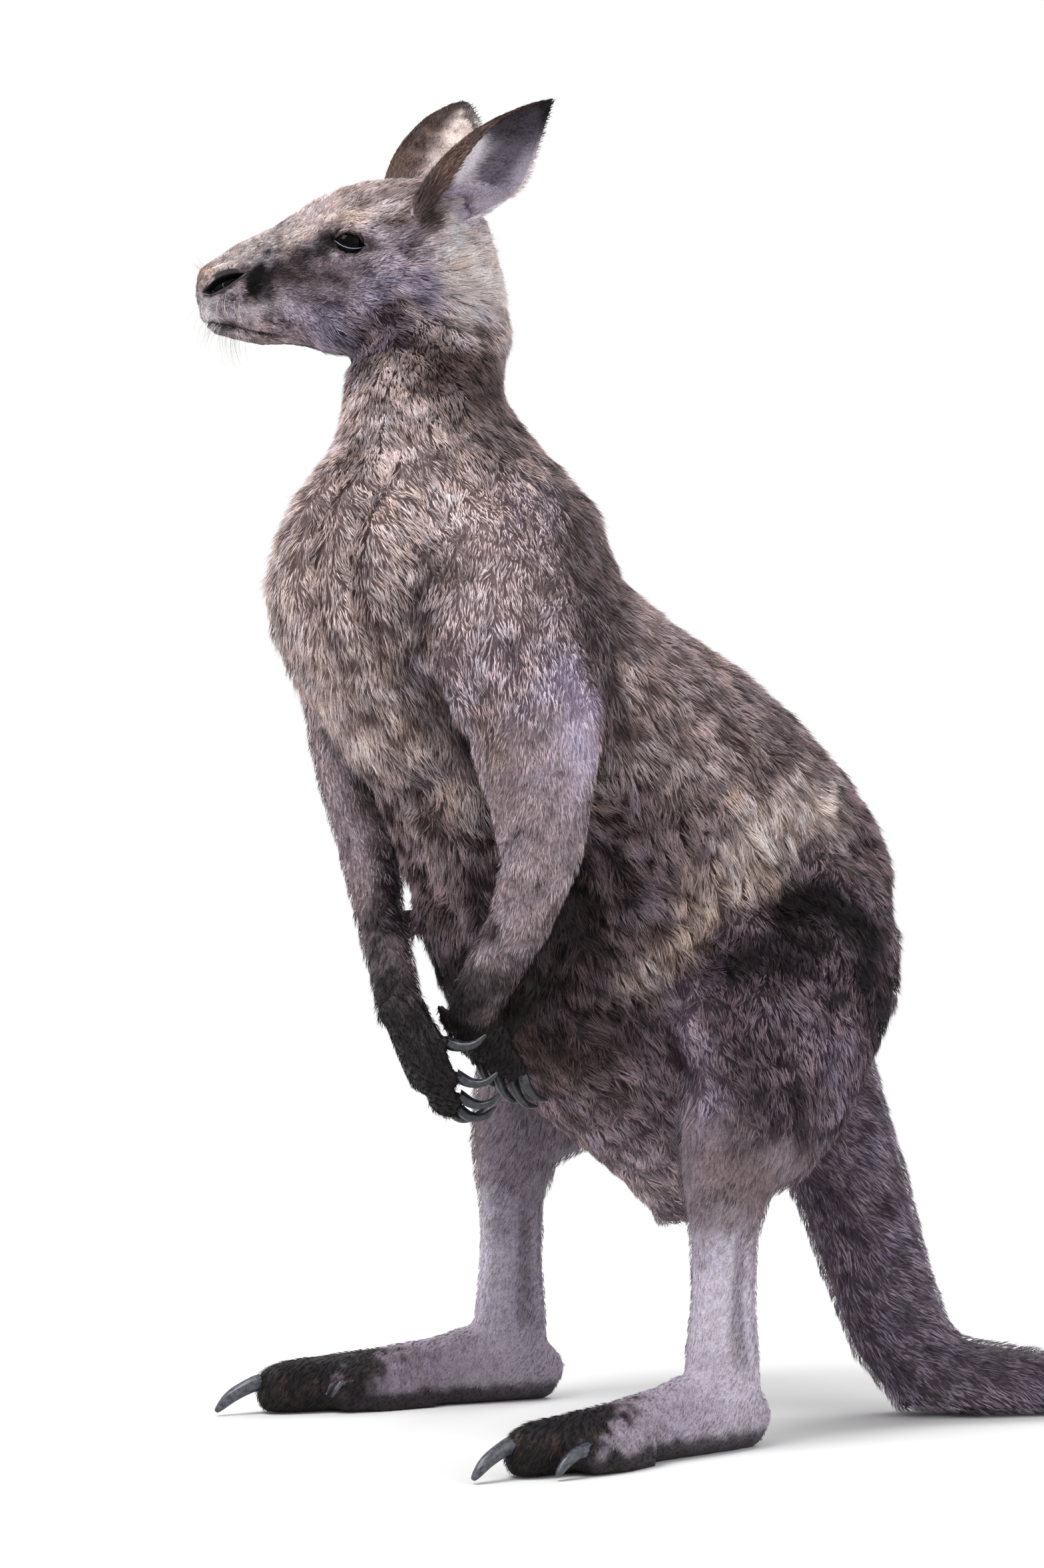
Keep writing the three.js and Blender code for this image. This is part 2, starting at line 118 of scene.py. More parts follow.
def off_line(points: np.ndarray, line: np.ndarray) -> tuple[np.ndarray, np.ndarray]:
    """Measures how far places lie from a line of short straights.

    Args:
        points: the places, (n, 2) or (n, 3).
        line: the line's corners, in the same coordinates.

    Returns:
        The distance, and how far along the line the nearest point lies, from 0 to 1.
    """
    best, where = np.full(len(points), 1e9), np.zeros(len(points))
    for k, (start, end) in enumerate(zip(line[:-1], line[1:])):
        way = end - start
        part = np.clip((points - start) @ way / (way @ way), 0, 1)
        away = np.linalg.norm(points - start - part[:, None] * way, axis=1)
        nearer = away < best
        best = np.where(nearer, away, best)
        where = np.where(nearer, (k + part) / (len(line) - 1), where)
    return best, where


class Ripple:
    """Smooth noise: the sum of plane sine waves in random directions, scaled to a spread of one."""

    def __init__(self, size: float, seed: int, waves: int = 20) -> None:
        """Draws the waves.

        Args:
            size: about how far apart two crests lie, in metres.
            seed: which waves to draw.
            waves: how many.
        """
        draw = np.random.default_rng(seed)
        length = 2 * math.pi / size * draw.uniform(0.6, 1.6, (waves, 1))
        self.beat = unit(draw.normal(size=(waves, 3))) * length
        self.phase = draw.uniform(0, 2 * math.pi, waves)

    def __call__(self, points: np.ndarray) -> np.ndarray:
        """Gives the noise at some points.

        Args:
            points: places in metres, (n, 3).

        Returns:
            One number for each point.
        """
        return np.sin(points @ self.beat.T + self.phase).sum(axis=1) * math.sqrt(2 / len(self.phase))


# ---- meshes ----
@dataclass
class Surface:
    """A triangle mesh as whole arrays."""

    points: np.ndarray
    triangles: np.ndarray

    def edges(self) -> np.ndarray:
        """Lists each edge once, as pairs of point numbers."""
        sides = np.concatenate([self.triangles[:, pair] for pair in ([0, 1], [1, 2], [2, 0])])
        return np.unique(np.sort(sides, axis=1), axis=0)

    def areas(self) -> np.ndarray:
        """Gives each triangle's area, half the length of the cross product of two sides."""
        return np.linalg.norm(self.crosses(), axis=1) / 2

    def crosses(self) -> np.ndarray:
        """Gives the cross product of each triangle's first two sides."""
        corner = self.points[self.triangles]
        return np.cross(corner[:, 1] - corner[:, 0], corner[:, 2] - corner[:, 0])

    def normals(self) -> np.ndarray:
        """Gives each point's normal, the mean of its triangles' normals weighted by area."""
        return unit(self.gather(np.repeat(self.crosses(), 3, axis=0)))

    def gather(self, values: np.ndarray) -> np.ndarray:
        """Sums a value per triangle corner onto the points.

        Args:
            values: one row for each corner, in the order of the triangles.

        Returns:
            One summed row for each point.
        """
        corners = self.triangles.ravel()
        count = len(self.points)
        return np.stack([np.bincount(corners, values[:, k], count) for k in range(values.shape[1])], axis=1)

    def outward(self) -> "Surface":
        """Turns the faces of a closed surface outwards, going by the sign of its volume.

        Returns:
            The surface itself, or one with its triangles reversed.
        """
        corner = self.points[self.triangles]
        volume = np.einsum("ij,ij->", corner[:, 0], np.cross(corner[:, 1], corner[:, 2]))
        return self if volume >= 0 else Surface(self.points, self.triangles[:, ::-1])


def relax(
    surface: Surface, values: np.ndarray, share: np.ndarray, rounds: int, swell: bool = True
) -> np.ndarray:
    """Evens out values over a surface by moving each towards the mean of its neighbours.

    Args:
        surface: the mesh whose edges join the values.
        values: one row for each point, such as the points themselves.
        share: how far each point takes part, 0 to 1.
        rounds: how many passes.
        swell: whether each pass is followed by a slightly longer step back, which keeps the volume.

    Returns:
        The evened values.
    """
    edges = surface.edges()
    count = len(surface.points)
    near = np.bincount(edges.ravel(), minlength=count).astype(float)[:, None]
    share = np.asarray(share, float).reshape(-1, 1)
    steps = (0.62, -0.64) if swell else (0.6,)
    for _ in range(rounds):
        for step in steps:
            mean = np.empty_like(values)
            for k in range(values.shape[1]):
                mean[:, k] = np.bincount(edges[:, 0], values[edges[:, 1], k], count)
                mean[:, k] += np.bincount(edges[:, 1], values[edges[:, 0], k], count)
            values = values + (mean / np.maximum(near, 1) - values) * step * share
    return values


def loft(rings: np.ndarray, looped: bool = False) -> Surface:
    """Joins rows of points into a closed surface.

    Args:
        rings: shape (rows, sides, 3), each row a closed ring.
        looped: whether the last row joins the first; otherwise a fan to the ring's middle closes each end.

    Returns:
        The surface, with its faces outwards.
    """
    rows, sides, _ = rings.shape
    row, side = np.meshgrid(np.arange(rows if looped else rows - 1), np.arange(sides), indexing="ij")
    a = (row * sides + side).ravel()
    b = (row * sides + (side + 1) % sides).ravel()
    c = ((row + 1) % rows * sides + (side + 1) % sides).ravel()
    d = ((row + 1) % rows * sides + side).ravel()
    triangles = np.concatenate([np.stack([a, b, c], 1), np.stack([a, c, d], 1)])
    points = rings.reshape(-1, 3)
    if not looped:
        around = np.arange(sides)
        after = (around + 1) % sides
        last = (rows - 1) * sides
        start = np.stack([np.full(sides, len(points)), after, around], 1)
        end = np.stack([np.full(sides, len(points) + 1), last + around, last + after], 1)
        triangles = np.concatenate([triangles, start, end])
        points = np.concatenate([points, rings[[0, -1]].mean(axis=1)])
    return Surface(points, triangles).outward()


def together(surfaces: list[Surface]) -> Surface:
    """Puts several surfaces in one.

    Args:
        surfaces: the meshes to join.

    Returns:
        One mesh that holds them all.
    """
    starts = np.cumsum([0] + [len(s.points) for s in surfaces[:-1]])
    triangles = [s.triangles + start for s, start in zip(surfaces, starts)]
    return Surface(np.concatenate([s.points for s in surfaces]), np.concatenate(triangles))


def tube(path: np.ndarray, girth: np.ndarray, sides: int = 4) -> Surface:
    """Makes a round cord along a line: each ring is a circle across the path.

    Args:
        path: points along the cord, (n, 3).
        girth: its radius at each point, in metres.
        sides: of each ring.

    Returns:
        A closed surface.
    """
    along = unit(np.gradient(path, axis=0))
    across = unit(np.cross(along, [0.31, 0.17, 0.93]))
    over = np.cross(along, across)
    angle = np.linspace(0, 2 * math.pi, sides, endpoint=False)
    ring = np.cos(angle)[None, :, None] * across[:, None] + np.sin(angle)[None, :, None] * over[:, None]
    return loft(path[:, None] + ring * girth[:, None, None])


def hair(path: np.ndarray, radius: float) -> Surface:
    """Makes one round hair whose radius falls as the square root of what is left of its length.

    Args:
        path: points along the hair from root to tip, (n, 3).
        radius: at the root, in metres.

    Returns:
        A closed spike.
    """
    return tube(path, radius * np.sqrt(np.linspace(1, 0.03, len(path))))


def blender_mesh(name: str, surface: Surface, material: bpy.types.Material | None = None) -> bpy.types.Object:
    """Puts a surface into a smooth-shaded Blender object at the origin.

    Args:
        name: of the object and its mesh.
        surface: the mesh, in metres.
        material: its finish, if it has one.

    Returns:
        The new object.
    """
    mesh = bpy.data.meshes.new(name)
    corners = surface.triangles.size
    mesh.vertices.add(len(surface.points))
    mesh.vertices.foreach_set("co", surface.points.astype(np.float32).ravel())
    mesh.loops.add(corners)
    mesh.loops.foreach_set("vertex_index", surface.triangles.astype(np.int32).ravel())
    mesh.polygons.add(corners // 3)
    mesh.polygons.foreach_set("loop_start", np.arange(0, corners, 3, dtype=np.int32))
    mesh.update(calc_edges=True)
    mesh.shade_smooth()
    if material:
        mesh.materials.append(material)
    made = bpy.data.objects.new(name, mesh)
    bpy.context.scene.collection.objects.link(made)
    return made


def read_triangles(mesh: bpy.types.Mesh) -> Surface:
    """Reads a Blender mesh as a surface.

    Args:
        mesh: the mesh, of any polygons.

    Returns:
        Its points and loop triangles.
    """
    mesh.calc_loop_triangles()
    points = np.empty(len(mesh.vertices) * 3, np.float32)
    mesh.vertices.foreach_get("co", points)
    triangles = np.empty(len(mesh.loop_triangles) * 3, np.int32)
    mesh.loop_triangles.foreach_get("vertices", triangles)
    return Surface(points.reshape(-1, 3).astype(float), triangles.reshape(-1, 3).astype(np.int64))


def taken(piece: bpy.types.Object) -> Surface:
    """Reads an object with its modifiers applied as a surface, then deletes the object.

    Args:
        piece: the Blender object.

    Returns:
        Its evaluated mesh as triangles.
    """
    evaluated = piece.evaluated_get(bpy.context.evaluated_depsgraph_get())
    surface = read_triangles(evaluated.to_mesh())
    evaluated.to_mesh_clear()
    bpy.data.objects.remove(piece)
    return surface


def colour_points(piece: bpy.types.Object, name: str, colours: np.ndarray) -> None:
    """Writes a colour for each point into an attribute of the mesh.

    Args:
        piece: the object.
        name: of the attribute.
        colours: linear colours, (n, 3).
    """
    rows = np.concatenate([np.clip(colours, 0, 1), np.ones((len(colours), 1))], axis=1)
    made = piece.data.color_attributes.new(name, "FLOAT_COLOR", "POINT")
    made.data.foreach_set("color", rows.astype(np.float32).ravel())


def fit(piece: bpy.types.Object, slot: str, *nodes: str) -> None:
    """Hands a finished piece to the frame.

    Args:
        piece: the object.
        slot: a material slot's name; not used.
        nodes: the solids that it stands for.
    """
    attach(piece, BODY)
    if nodes:
        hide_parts(*nodes)
    log.info("%s: %d faces", piece.name, len(piece.data.polygons))


# ---- the body's plan ----
@dataclass(frozen=True)
class Pelt:
    """How the coat grows on one part of the body: lengths in millimetres, colours in sRGB."""

    depth: float  # from the skin to the coat's outer face
    length: float  # of a hair
    width: float  # of a blade at its root
    clump: float  # across one clump of locks
    wander: float  # how far the lie turns from the flow, in degrees
    pale: str  # the hair's tip
    dark: str  # the hair's root
    gather: float = 0.5  # how far the locks of a clump close on its tip
    thick: float = 1.0  # how close the locks stand


PELTS = {
    "head": Pelt(3.6, 8.6, 0.54, 5.5, 13, "e2ced6", "403139", 0.40),
    "ear": Pelt(1.2, 5.0, 0.50, 4, 7, "bba7ab", "5c4a50", 0.2),
    "neck": Pelt(9, 16, 0.56, 12, 16, "efdad8", "3a2a2c", 0.30),
    "chest": Pelt(10, 19, 0.60, 15, 14, "fbe5e1", "5f4a4a", 0.30),
    "belly": Pelt(12, 22, 0.70, 17, 22, "a58f95", "1c1215", 0.5),
    "rump": Pelt(12, 22, 0.70, 17, 22, "a28d97", "1e1418", 0.5),
    "thigh": Pelt(9, 16, 0.62, 13, 18, "9b8691", "180f14", 0.42),
    # the shank's pale lilac is partly its own colour and partly a painted violet tint of the light
    "shank": Pelt(2.6, 8.5, 0.52, 5, 6, "ddd4e1", "a79faf", 0.25),
    "foot": Pelt(2.2, 7, 0.54, 4, 8, "c1b5c6", "6f636e", 0.2),
    "upper_arm": Pelt(8, 17, 0.60, 13, 13, "e6d2d9", "4e3d45", 0.32),
    "forearm": Pelt(4.6, 12.5, 0.58, 8, 11, "d0bdc4", "44353b", 0.34),
    "paw": Pelt(2.2, 7, 0.58, 4, 12, "21191c", "080506", 0.2, 1.2),
    "tail_base": Pelt(8.5, 16, 0.64, 11, 12, "ad9cae", "352932", 0.4),
    "tail_middle": Pelt(7, 15, 0.62, 10, 10, "ad9daf", "362b34", 0.35),
    "tail_tip": Pelt(6.5, 14, 0.62, 9, 10, "8c7d8c", "271d26", 0.35),
}
CHAINS = [
    ["head", "neck", "chest", "belly", "rump", "tail_base", "tail_middle", "tail_tip"],
    ["chest", "upper_arm_l", "forearm_l", "paw_l"],
    ["chest", "upper_arm_r", "forearm_r", "paw_r"],
    ["belly", "thigh_l", "shank_l", "foot_l"],
    ["belly", "thigh_r", "shank_r", "foot_r"],
]


def pelt_of(node: str) -> Pelt:
    """Gives the coat of a node, left and right alike."""
    return PELTS[node.removesuffix("_l").removesuffix("_r")]


def merged(node: str) -> Surface:
    """Reads a node's loose triangles with the points they share made one.

    Args:
        node: the solid's name.

    Returns:
        The solid as a closed surface.
    """
    loose = read_triangles(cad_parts[node].data)
    places = np.round(loose.points.astype(np.float32), 5)
    _, first, same = np.unique(places, axis=0, return_index=True, return_inverse=True)
    welded = same.ravel()[loose.triangles]
    whole = (welded != np.roll(welded, -1, axis=1)).all(axis=1)
    return Surface(loose.points[first], welded[whole])


def part_of(node: str, axis: int, points: np.ndarray) -> np.ndarray:
    """Says how far up a node's box some places lie.

    Args:
        node: the solid.
        axis: 0, 1 or 2 for x, y or z.
        points: places in metres.

    Returns:
        Numbers that are 0 at the box's low end and 1 at its high end.
    """
    low, high = [c[axis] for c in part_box(node)]
    return (points[:, axis] - low) / (high - low)


@dataclass
class HeadFrame:
    """The head's own axes, from its two eyes: x to its left, s towards the nose, q up, in millimetres."""

    drop: float = 13.5  # how far the nose points below level, in degrees
    eye: tuple[float, float, float] = (41.0, 103.0, 54.0)  # each eye's place along x, s and q

    def __post_init__(self) -> None:
        """Works out the axes and the origin."""
        left, right = [np.mean([np.array(c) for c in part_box(n)], axis=0) for n in ("eye_l", "eye_r")]
        self.x = unit((left - right) * [1, 1, 0])
        level = np.array([self.x[1], -self.x[0], 0])
        turn = math.radians(self.drop)
        self.s = level * math.cos(turn) - np.array([0, 0, math.sin(turn)])
        self.q = np.cross(self.s, self.x)
        self.origin = (left + right) / 2 - (self.s * self.eye[1] + self.q * self.eye[2]) * MM

    def place(self, x: np.ndarray, s: np.ndarray, q: np.ndarray) -> np.ndarray:
        """Turns head coordinates in millimetres into places in metres."""
        pairs = ((x, self.x), (s, self.s), (q, self.q))
        return self.origin + sum(np.asarray(v, float)[..., None] * axis for v, axis in pairs) * MM

    def read(self, points: np.ndarray) -> tuple[np.ndarray, np.ndarray, np.ndarray]:
        """Turns places in metres into head coordinates in millimetres."""
        away = (points - self.origin) / MM
        return away @ self.x, away @ self.s, away @ self.q


@dataclass(frozen=True)
class Ear:
    """One ear: a cupped leaf whose width rises and falls along its length, rolled round its axis."""

    side: str
    base: tuple[float, float, float]  # in the head's frame, mm
    tip: tuple[float, float, float]  # the way it points, in the frame
    open: tuple[float, float, float]  # the way its hollow faces, in the frame
    roll: float  # half the turn of its base, in radians
    width: float
    blunt: float  # how round its tip is
    lap: float  # how far the lower part of its rear half is drawn in
    length: float = 175
    sunk: float = 12  # how far its root lies in the head
    wall: float = 4.5  # of the solid, out to the tips of its hair
    skin: float = 2.0  # of the bare ear

    @property
    def hand(self) -> int:
        """Gives the sign of c on the rear half: 1 on the left ear, -1 on the right."""
        return 1 if self.side == "l" else -1

    def axes(self) -> tuple[np.ndarray, np.ndarray, np.ndarray]:
        """Gives the ear's directions: along it, out of its hollow, and across it.

        Returns:
            Three unit vectors.
        """
        along = unit(np.array(self.tip))
        face = np.array(self.open)
        face = unit(face - along * (face @ along))
        return along, face, np.cross(along, face)

    def half(self, v: np.ndarray) -> np.ndarray:
        """Gives half the leaf's width at each height, in millimetres."""
        return self.width / 2 * (0.42 + 2.3 * v - 2.2 * v * v) * np.sqrt(np.maximum(1 - v**self.blunt, 0.03))

    def turn(self, v: np.ndarray) -> np.ndarray:
        """Gives half the angle that the leaf's arc spans at each height; it opens towards the tip."""
        return self.roll * (1 - 0.55 * v)

    def squeeze(self, v: np.ndarray) -> np.ndarray:
        """Gives how far the rear half is drawn in at each height."""
        return 1 - self.lap * (1 - np.minimum(v / 0.55, 1) ** 2)

    @staticmethod
    def tuft(v: np.ndarray, c: np.ndarray) -> np.ndarray:
        """Gives 1 on the tuft of long hairs behind the front rim, a stripe that leans back further down."""
        middle, wide = 1.35 * (0.53 - v) - 0.10, 0.15
        return np.exp(-(((c - middle) / wide) ** 4))

    def layer(self, v: np.ndarray, c: np.ndarray, inset: float, head: HeadFrame) -> np.ndarray:
        """Works out one face of the leaf.

        At height v the leaf is an arc of radius r = half width over the sine of the turn, minus the inset,
        and c runs over the arc from one rim to the other.

        Args:
            v: 0 at the root to 1 at the tip.
            c: -1 at one rim to 1 at the other.
            inset: how far in from the solid's outer face, in millimetres.
            head: the head's frame.

        Returns:
            Places in metres.
        """
        along, face, across = self.axes()
        half, turn = self.half(v), self.turn(v)
        radius = half / np.sin(np.minimum(turn, math.pi / 2)) - inset
        angle = turn * c
        lift = (self.length - inset) * v - self.sunk - 6 * (1 - v) ** 4
        sideways = radius * np.sin(angle) * np.where(angle * self.hand > 0, self.squeeze(v), 1)
        parts = ((lift, along), (sideways, across), (half / 2 - radius * np.cos(angle), face))
        return head.place(*self.base) + sum(np.asarray(k)[..., None] * axis for k, axis in parts) * MM

    def chart(
        self, points: np.ndarray, normals: np.ndarray, head: HeadFrame
    ) -> tuple[np.ndarray, np.ndarray, np.ndarray]:
        """Finds where on the leaf some places lie, the reverse of layer.

        Args:
            points: places in metres.
            normals: the skin's normals there.
            head: the head's frame.

        Returns:
            The height v, the place c from the front rim at -1 to the rear rim at 1, and 1 in the hollow.
        """
        along, face, across = self.axes()
        away = (points - head.place(*self.base)) / MM
        v = np.clip((away @ along + self.sunk) / self.length, 0, 1)
        sideways = away @ across
        sideways = sideways / np.where(sideways * self.hand > 0, self.squeeze(v), 1)
        inward = self.half(v) / 2 - away @ face
        angle = np.arctan2(sideways, inward)
        outwards = normals @ across * np.sin(angle) - normals @ face * np.cos(angle)
        c = np.clip(angle * self.hand / self.turn(v), -1.2, 1.2)
        return v, c, ease(0.15, -0.15, outwards)

    def surface(self, head: HeadFrame, rows: int = 56, columns: int = 44) -> Surface:
        """Builds the bare ear as a thin closed leaf.

        Args:
            head: the head's frame.
            rows: from root to tip.
            columns: from rim to rim.

        Returns:
            The closed surface: the outer face, the inner face, and strips that close the root and the tip.
        """
        v, c = np.meshgrid(np.linspace(0, 1, rows + 1), np.linspace(-1, 1, columns + 1), indexing="ij")
        skirt = (self.wall - self.skin) / 2
        rim = 1 - 0.07 * np.abs(c) ** 8
        outer = self.layer(v, c * rim, skirt, head)
        inner = self.layer(v, c * rim * 0.985, skirt + self.skin, head)
        made = loft(np.concatenate([outer, inner[:, ::-1]], axis=1))
        sides = 2 * (columns + 1)
        tiles = made.triangles[: 4 * rows * (columns + 1)]
        strips = []
        for start, turned in ((0, False), (rows * sides, True)):
            a = start + np.arange(columns)
            b = start + sides - 1 - np.arange(columns)
            pair = np.concatenate([np.stack([a, b, a + 1], 1), np.stack([a + 1, b, b - 1], 1)])
            strips.append(pair[:, ::-1] if turned else pair)
        whole = Surface(made.points[:-2], np.concatenate([tiles, *strips]))
        return consistent(whole)


def consistent(surface: Surface) -> Surface:
    """Turns every face of a closed surface the same way, outwards.

    Args:
        surface: a closed surface whose faces may disagree.

    Returns:
        The surface with its faces outwards.
    """
    mesh = bpy.data.meshes.new("turning")
    mesh.from_pydata(surface.points.tolist(), [], surface.triangles.tolist())
    work = bmesh.new()
    work.from_mesh(mesh)
    bmesh.ops.recalc_face_normals(work, faces=work.faces)
    work.to_mesh(mesh)
    work.free()
    triangles = np.empty(len(mesh.polygons) * 3, np.int32)
    mesh.polygons.foreach_get("vertices", triangles)
    bpy.data.meshes.remove(mesh)
    return Surface(surface.points, triangles.reshape(-1, 3).astype(np.int64)).outward()


EARS = (
    Ear("l", (31, 18, 70), (0.37, 0.655, 0.66), (0.87, -0.02, -0.48), 2.5, 92, 2.6, 0.45),
    Ear("r", (-33, 34, 64), (-0.33, 0.56, 0.77), (-0.81, 0.24, -0.54), 2.0, 99, 4.0, 0.3),
)


class BodyMap:
    """Says which part of the body a place belongs to, with soft borders."""

    batch = 6000  # places looked up at once, so that the table of distances stays small

    def __init__(self, spots: int = 260) -> None:
        """Scatters spots over each flesh node and lays out the flow of the coat.

        Args:
            spots: how many on each node.
        """
        self.nodes = [n for n in sorted(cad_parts) if n.removesuffix("_l").removesuffix("_r") in PELTS]
        draw = np.random.default_rng(SEED)
        places, middles = [], {}
        for node in self.nodes:
            solid = merged(node)
            share = solid.areas()
            chosen = solid.triangles[draw.choice(len(share), spots, p=share / share.sum())]
            u, v = draw.random((2, spots))
            u, v = np.where(u + v > 1, 1 - u, u), np.where(u + v > 1, 1 - v, v)
            corner = solid.points[chosen]
            first, second = corner[:, 1] - corner[:, 0], corner[:, 2] - corner[:, 0]
            spread = corner[:, 0] + first * u[:, None] + second * v[:, None]
            places.append(spread)
            middles[node] = spread.mean(axis=0)
        self.spots, self.each = np.concatenate(places), spots
        self.middles = middles
        self.flows = np.array([self.flow(node) for node in self.nodes])

    def flow(self, node: str) -> np.ndarray:
        """Gives the way the hair runs over a node, along its chain of neighbours from head to tail.

        Args:
            node: the solid.

        Returns:
            A unit vector, or zero where the node is in no chain.
        """
        for chain in CHAINS:
            if node in chain[1:] or (node == "head" and chain[0] == node):
                at = chain.index(node)
                start, end = chain[max(at - 1, 0)], chain[min(at + 1, len(chain) - 1)]
                return unit(self.middles[end] - self.middles[start])
        return np.zeros(3)

    def shares(self, points: np.ndarray, border: float = 0.010) -> np.ndarray:
        """Says how far each point belongs to each node: exp(-distance / border), scaled to a sum of one.

        Args:
            points: places in metres.
            border: how soft the borders are, in metres.

        Returns:
            One row for each point, which sums to one.
        """
        rows = []
        spots = (self.spots - self.spots.mean(axis=0)).astype(np.float32)
        points = (points - self.spots.mean(axis=0)).astype(np.float32)
        for start in range(0, len(points), self.batch):
            part = points[start : start + self.batch]
            square = (part**2).sum(1)[:, None] + (spots**2).sum(1) - 2 * part @ spots.T
            nearest = square.reshape(len(part), len(self.nodes), self.each).min(axis=2)
            away = np.sqrt(np.maximum(nearest, 0))
            share = np.exp(-(away - away.min(axis=1, keepdims=True)) / border)
            rows.append(share / share.sum(axis=1, keepdims=True))
        return np.concatenate(rows)

    def column(self, name: str) -> int:
        """Gives a node's column in the table of shares."""
        return self.nodes.index(name)

    def blend(self, shares: np.ndarray, trait: str) -> np.ndarray:
        """Blends one number of the pelts by the shares."""
        return shares @ np.array([getattr(pelt_of(n), trait) for n in self.nodes])

    def tint(self, shares: np.ndarray, trait: str) -> np.ndarray:
        """Blends one colour of the pelts by the shares."""
        return shares @ np.array([linear(getattr(pelt_of(n), trait)) for n in self.nodes])

    def total(self, shares: np.ndarray, *families: str) -> np.ndarray:
        """Sums the shares of every node whose name starts with one of these."""
        return shares[:, [n.startswith(families) for n in self.nodes]].sum(axis=1)


# ---- the face's forms ----
@dataclass(frozen=True)
class Face:
    """Where the eyes, nostrils and mouth lie in the head's frame, in millimetres."""

    eye: tuple[float, float] = (102.0, 54.0)  # the middle of each opening, along s and q
    slant: float = 25.0  # of the opening, front corner up, in degrees
    half_long: float = 15.6
    upper: float = 5.6
    lower: float = 5.0
    ball: float = 16.6
    ball_x: float = 38.2
    nostril: tuple[tuple[float, float], ...] = ((251, 41), (240, 45.5), (224, 49), (206, 51))
    mouth: tuple[tuple[float, float], ...] = ((290, 12), (256, 12), (236, 3), (212, -9), (184, -19))

    def opening(self, s: np.ndarray, q: np.ndarray) -> tuple[np.ndarray, np.ndarray, np.ndarray]:
        """Measures a place against the eye's opening, which is bounded by two parabolas.

        Args:
            s: along the head.
            q: up.

        Returns:
            The distances along and across the opening, and a ratio that is 1 on its edge and 0 at its middle.
        """
        turn = math.radians(self.slant)
        ds, dq = s - self.eye[0], q - self.eye[1]
        a = ds * math.cos(turn) + dq * math.sin(turn)
        b = dq * math.cos(turn) - ds * math.sin(turn)
        high = np.abs(b) / np.where(b > 0, self.upper, self.lower)
        return a, b, (high + np.sqrt(high**2 + 4 * (a / self.half_long) ** 2)) / 2

    def on_opening(self, a: np.ndarray, b: np.ndarray) -> tuple[np.ndarray, np.ndarray]:
        """Turns distances along and across the eye's opening into s and q.

        Args:
            a: along the opening, mm.
            b: across it.

        Returns:
            The places along the head and up.
        """
        turn = math.radians(self.slant)
        s = self.eye[0] + a * math.cos(turn) - b * math.sin(turn)
        return s, self.eye[1] + b * math.cos(turn) + a * math.sin(turn)

    def bare(self, x: np.ndarray, s: np.ndarray, q: np.ndarray) -> np.ndarray:
        """Says how bare the face is: 1 in the eyes' openings, on their lids and in the nostrils, else 0.

        Args:
            x: to the left.
            s: along the head.
            q: up.

        Returns:
            One number for each place.
        """
        _, _, ratio = self.opening(s, q)
        eye = ease(1.14, 1.06, ratio) * (np.abs(x) > 25)
        nose = ease(2.2, 1.0, self.nostril_rim(s, q)) * (np.abs(x) > 8)
        wing = ease(1.2, 0.8, np.hypot((s - 229) / 14, (q - 54) / 4.5)) * (np.abs(x) > 8)
        return np.maximum(np.maximum(eye, nose), wing)

    def nostril_rim(self, s: np.ndarray, q: np.ndarray) -> np.ndarray:
        """Measures how far a place lies outside the nostril's opening, in millimetres, negative inside it.

        The opening's half height is a parabola along its line, highest near the front.
        """
        away, where = off_line(np.stack([s, q], axis=1), np.array(self.nostril))
        return away - np.maximum(6.2 * (1 - 0.8 * (2 * where - 0.75) ** 2), 0.4)


FACE = Face()


@dataclass(frozen=True)
class Folds:
    """The soft upright folds of the loose skin on the front of the chest."""

    middle: float = 0.018  # where the chest's middle lies along x, in metres
    sway: float = 0.012  # how far the folds swing to and fro, in metres
    lines: tuple[tuple[float, float, float], ...] = (
        (0.040, 6.0, 0.010), (0.070, 12.0, 0.012), (0.106, 8.0, 0.012),
        (-0.036, 8.0, 0.012), (-0.082, 9.0, 0.013),
    )  # from the middle in metres, depth in mm, half width in metres

    def press(self, points: np.ndarray, normals: np.ndarray) -> np.ndarray:
        """Says how deep the folds are at some places on the chest.

        Each fold is a groove with the cross section of a bell curve, from the throat to the belly.

        Args:
            points: places in metres.
            normals: the skin's normals there.

        Returns:
            Depths in millimetres.
        """
        along = part_of("chest", 2, points)
        bend = self.sway * np.sin(along * 5.0)
        deep = np.zeros(len(points))
        for place, most, wide in self.lines:
            line = (points[:, 0] - self.middle - place - bend) / wide
            deep += most * np.exp(-(line**2))
        return deep * ease(-0.15, 0.25, along) * ease(1.12, 0.85, along) * ease(0.1, -0.45, normals[:, 1])


FOLDS = Folds()


# ---- skin ----
@dataclass(frozen=True)
class Casting:
    """A group of nodes that is recast as one even mesh."""

    nodes: tuple[str, ...]
    cell: float  # mm
    grow: float  # mm, so that neighbours meet
    buried: tuple[str, ...] = ()  # nodes that a finer casting covers
    cover: float = 2.5  # mm, how deep they lie in it


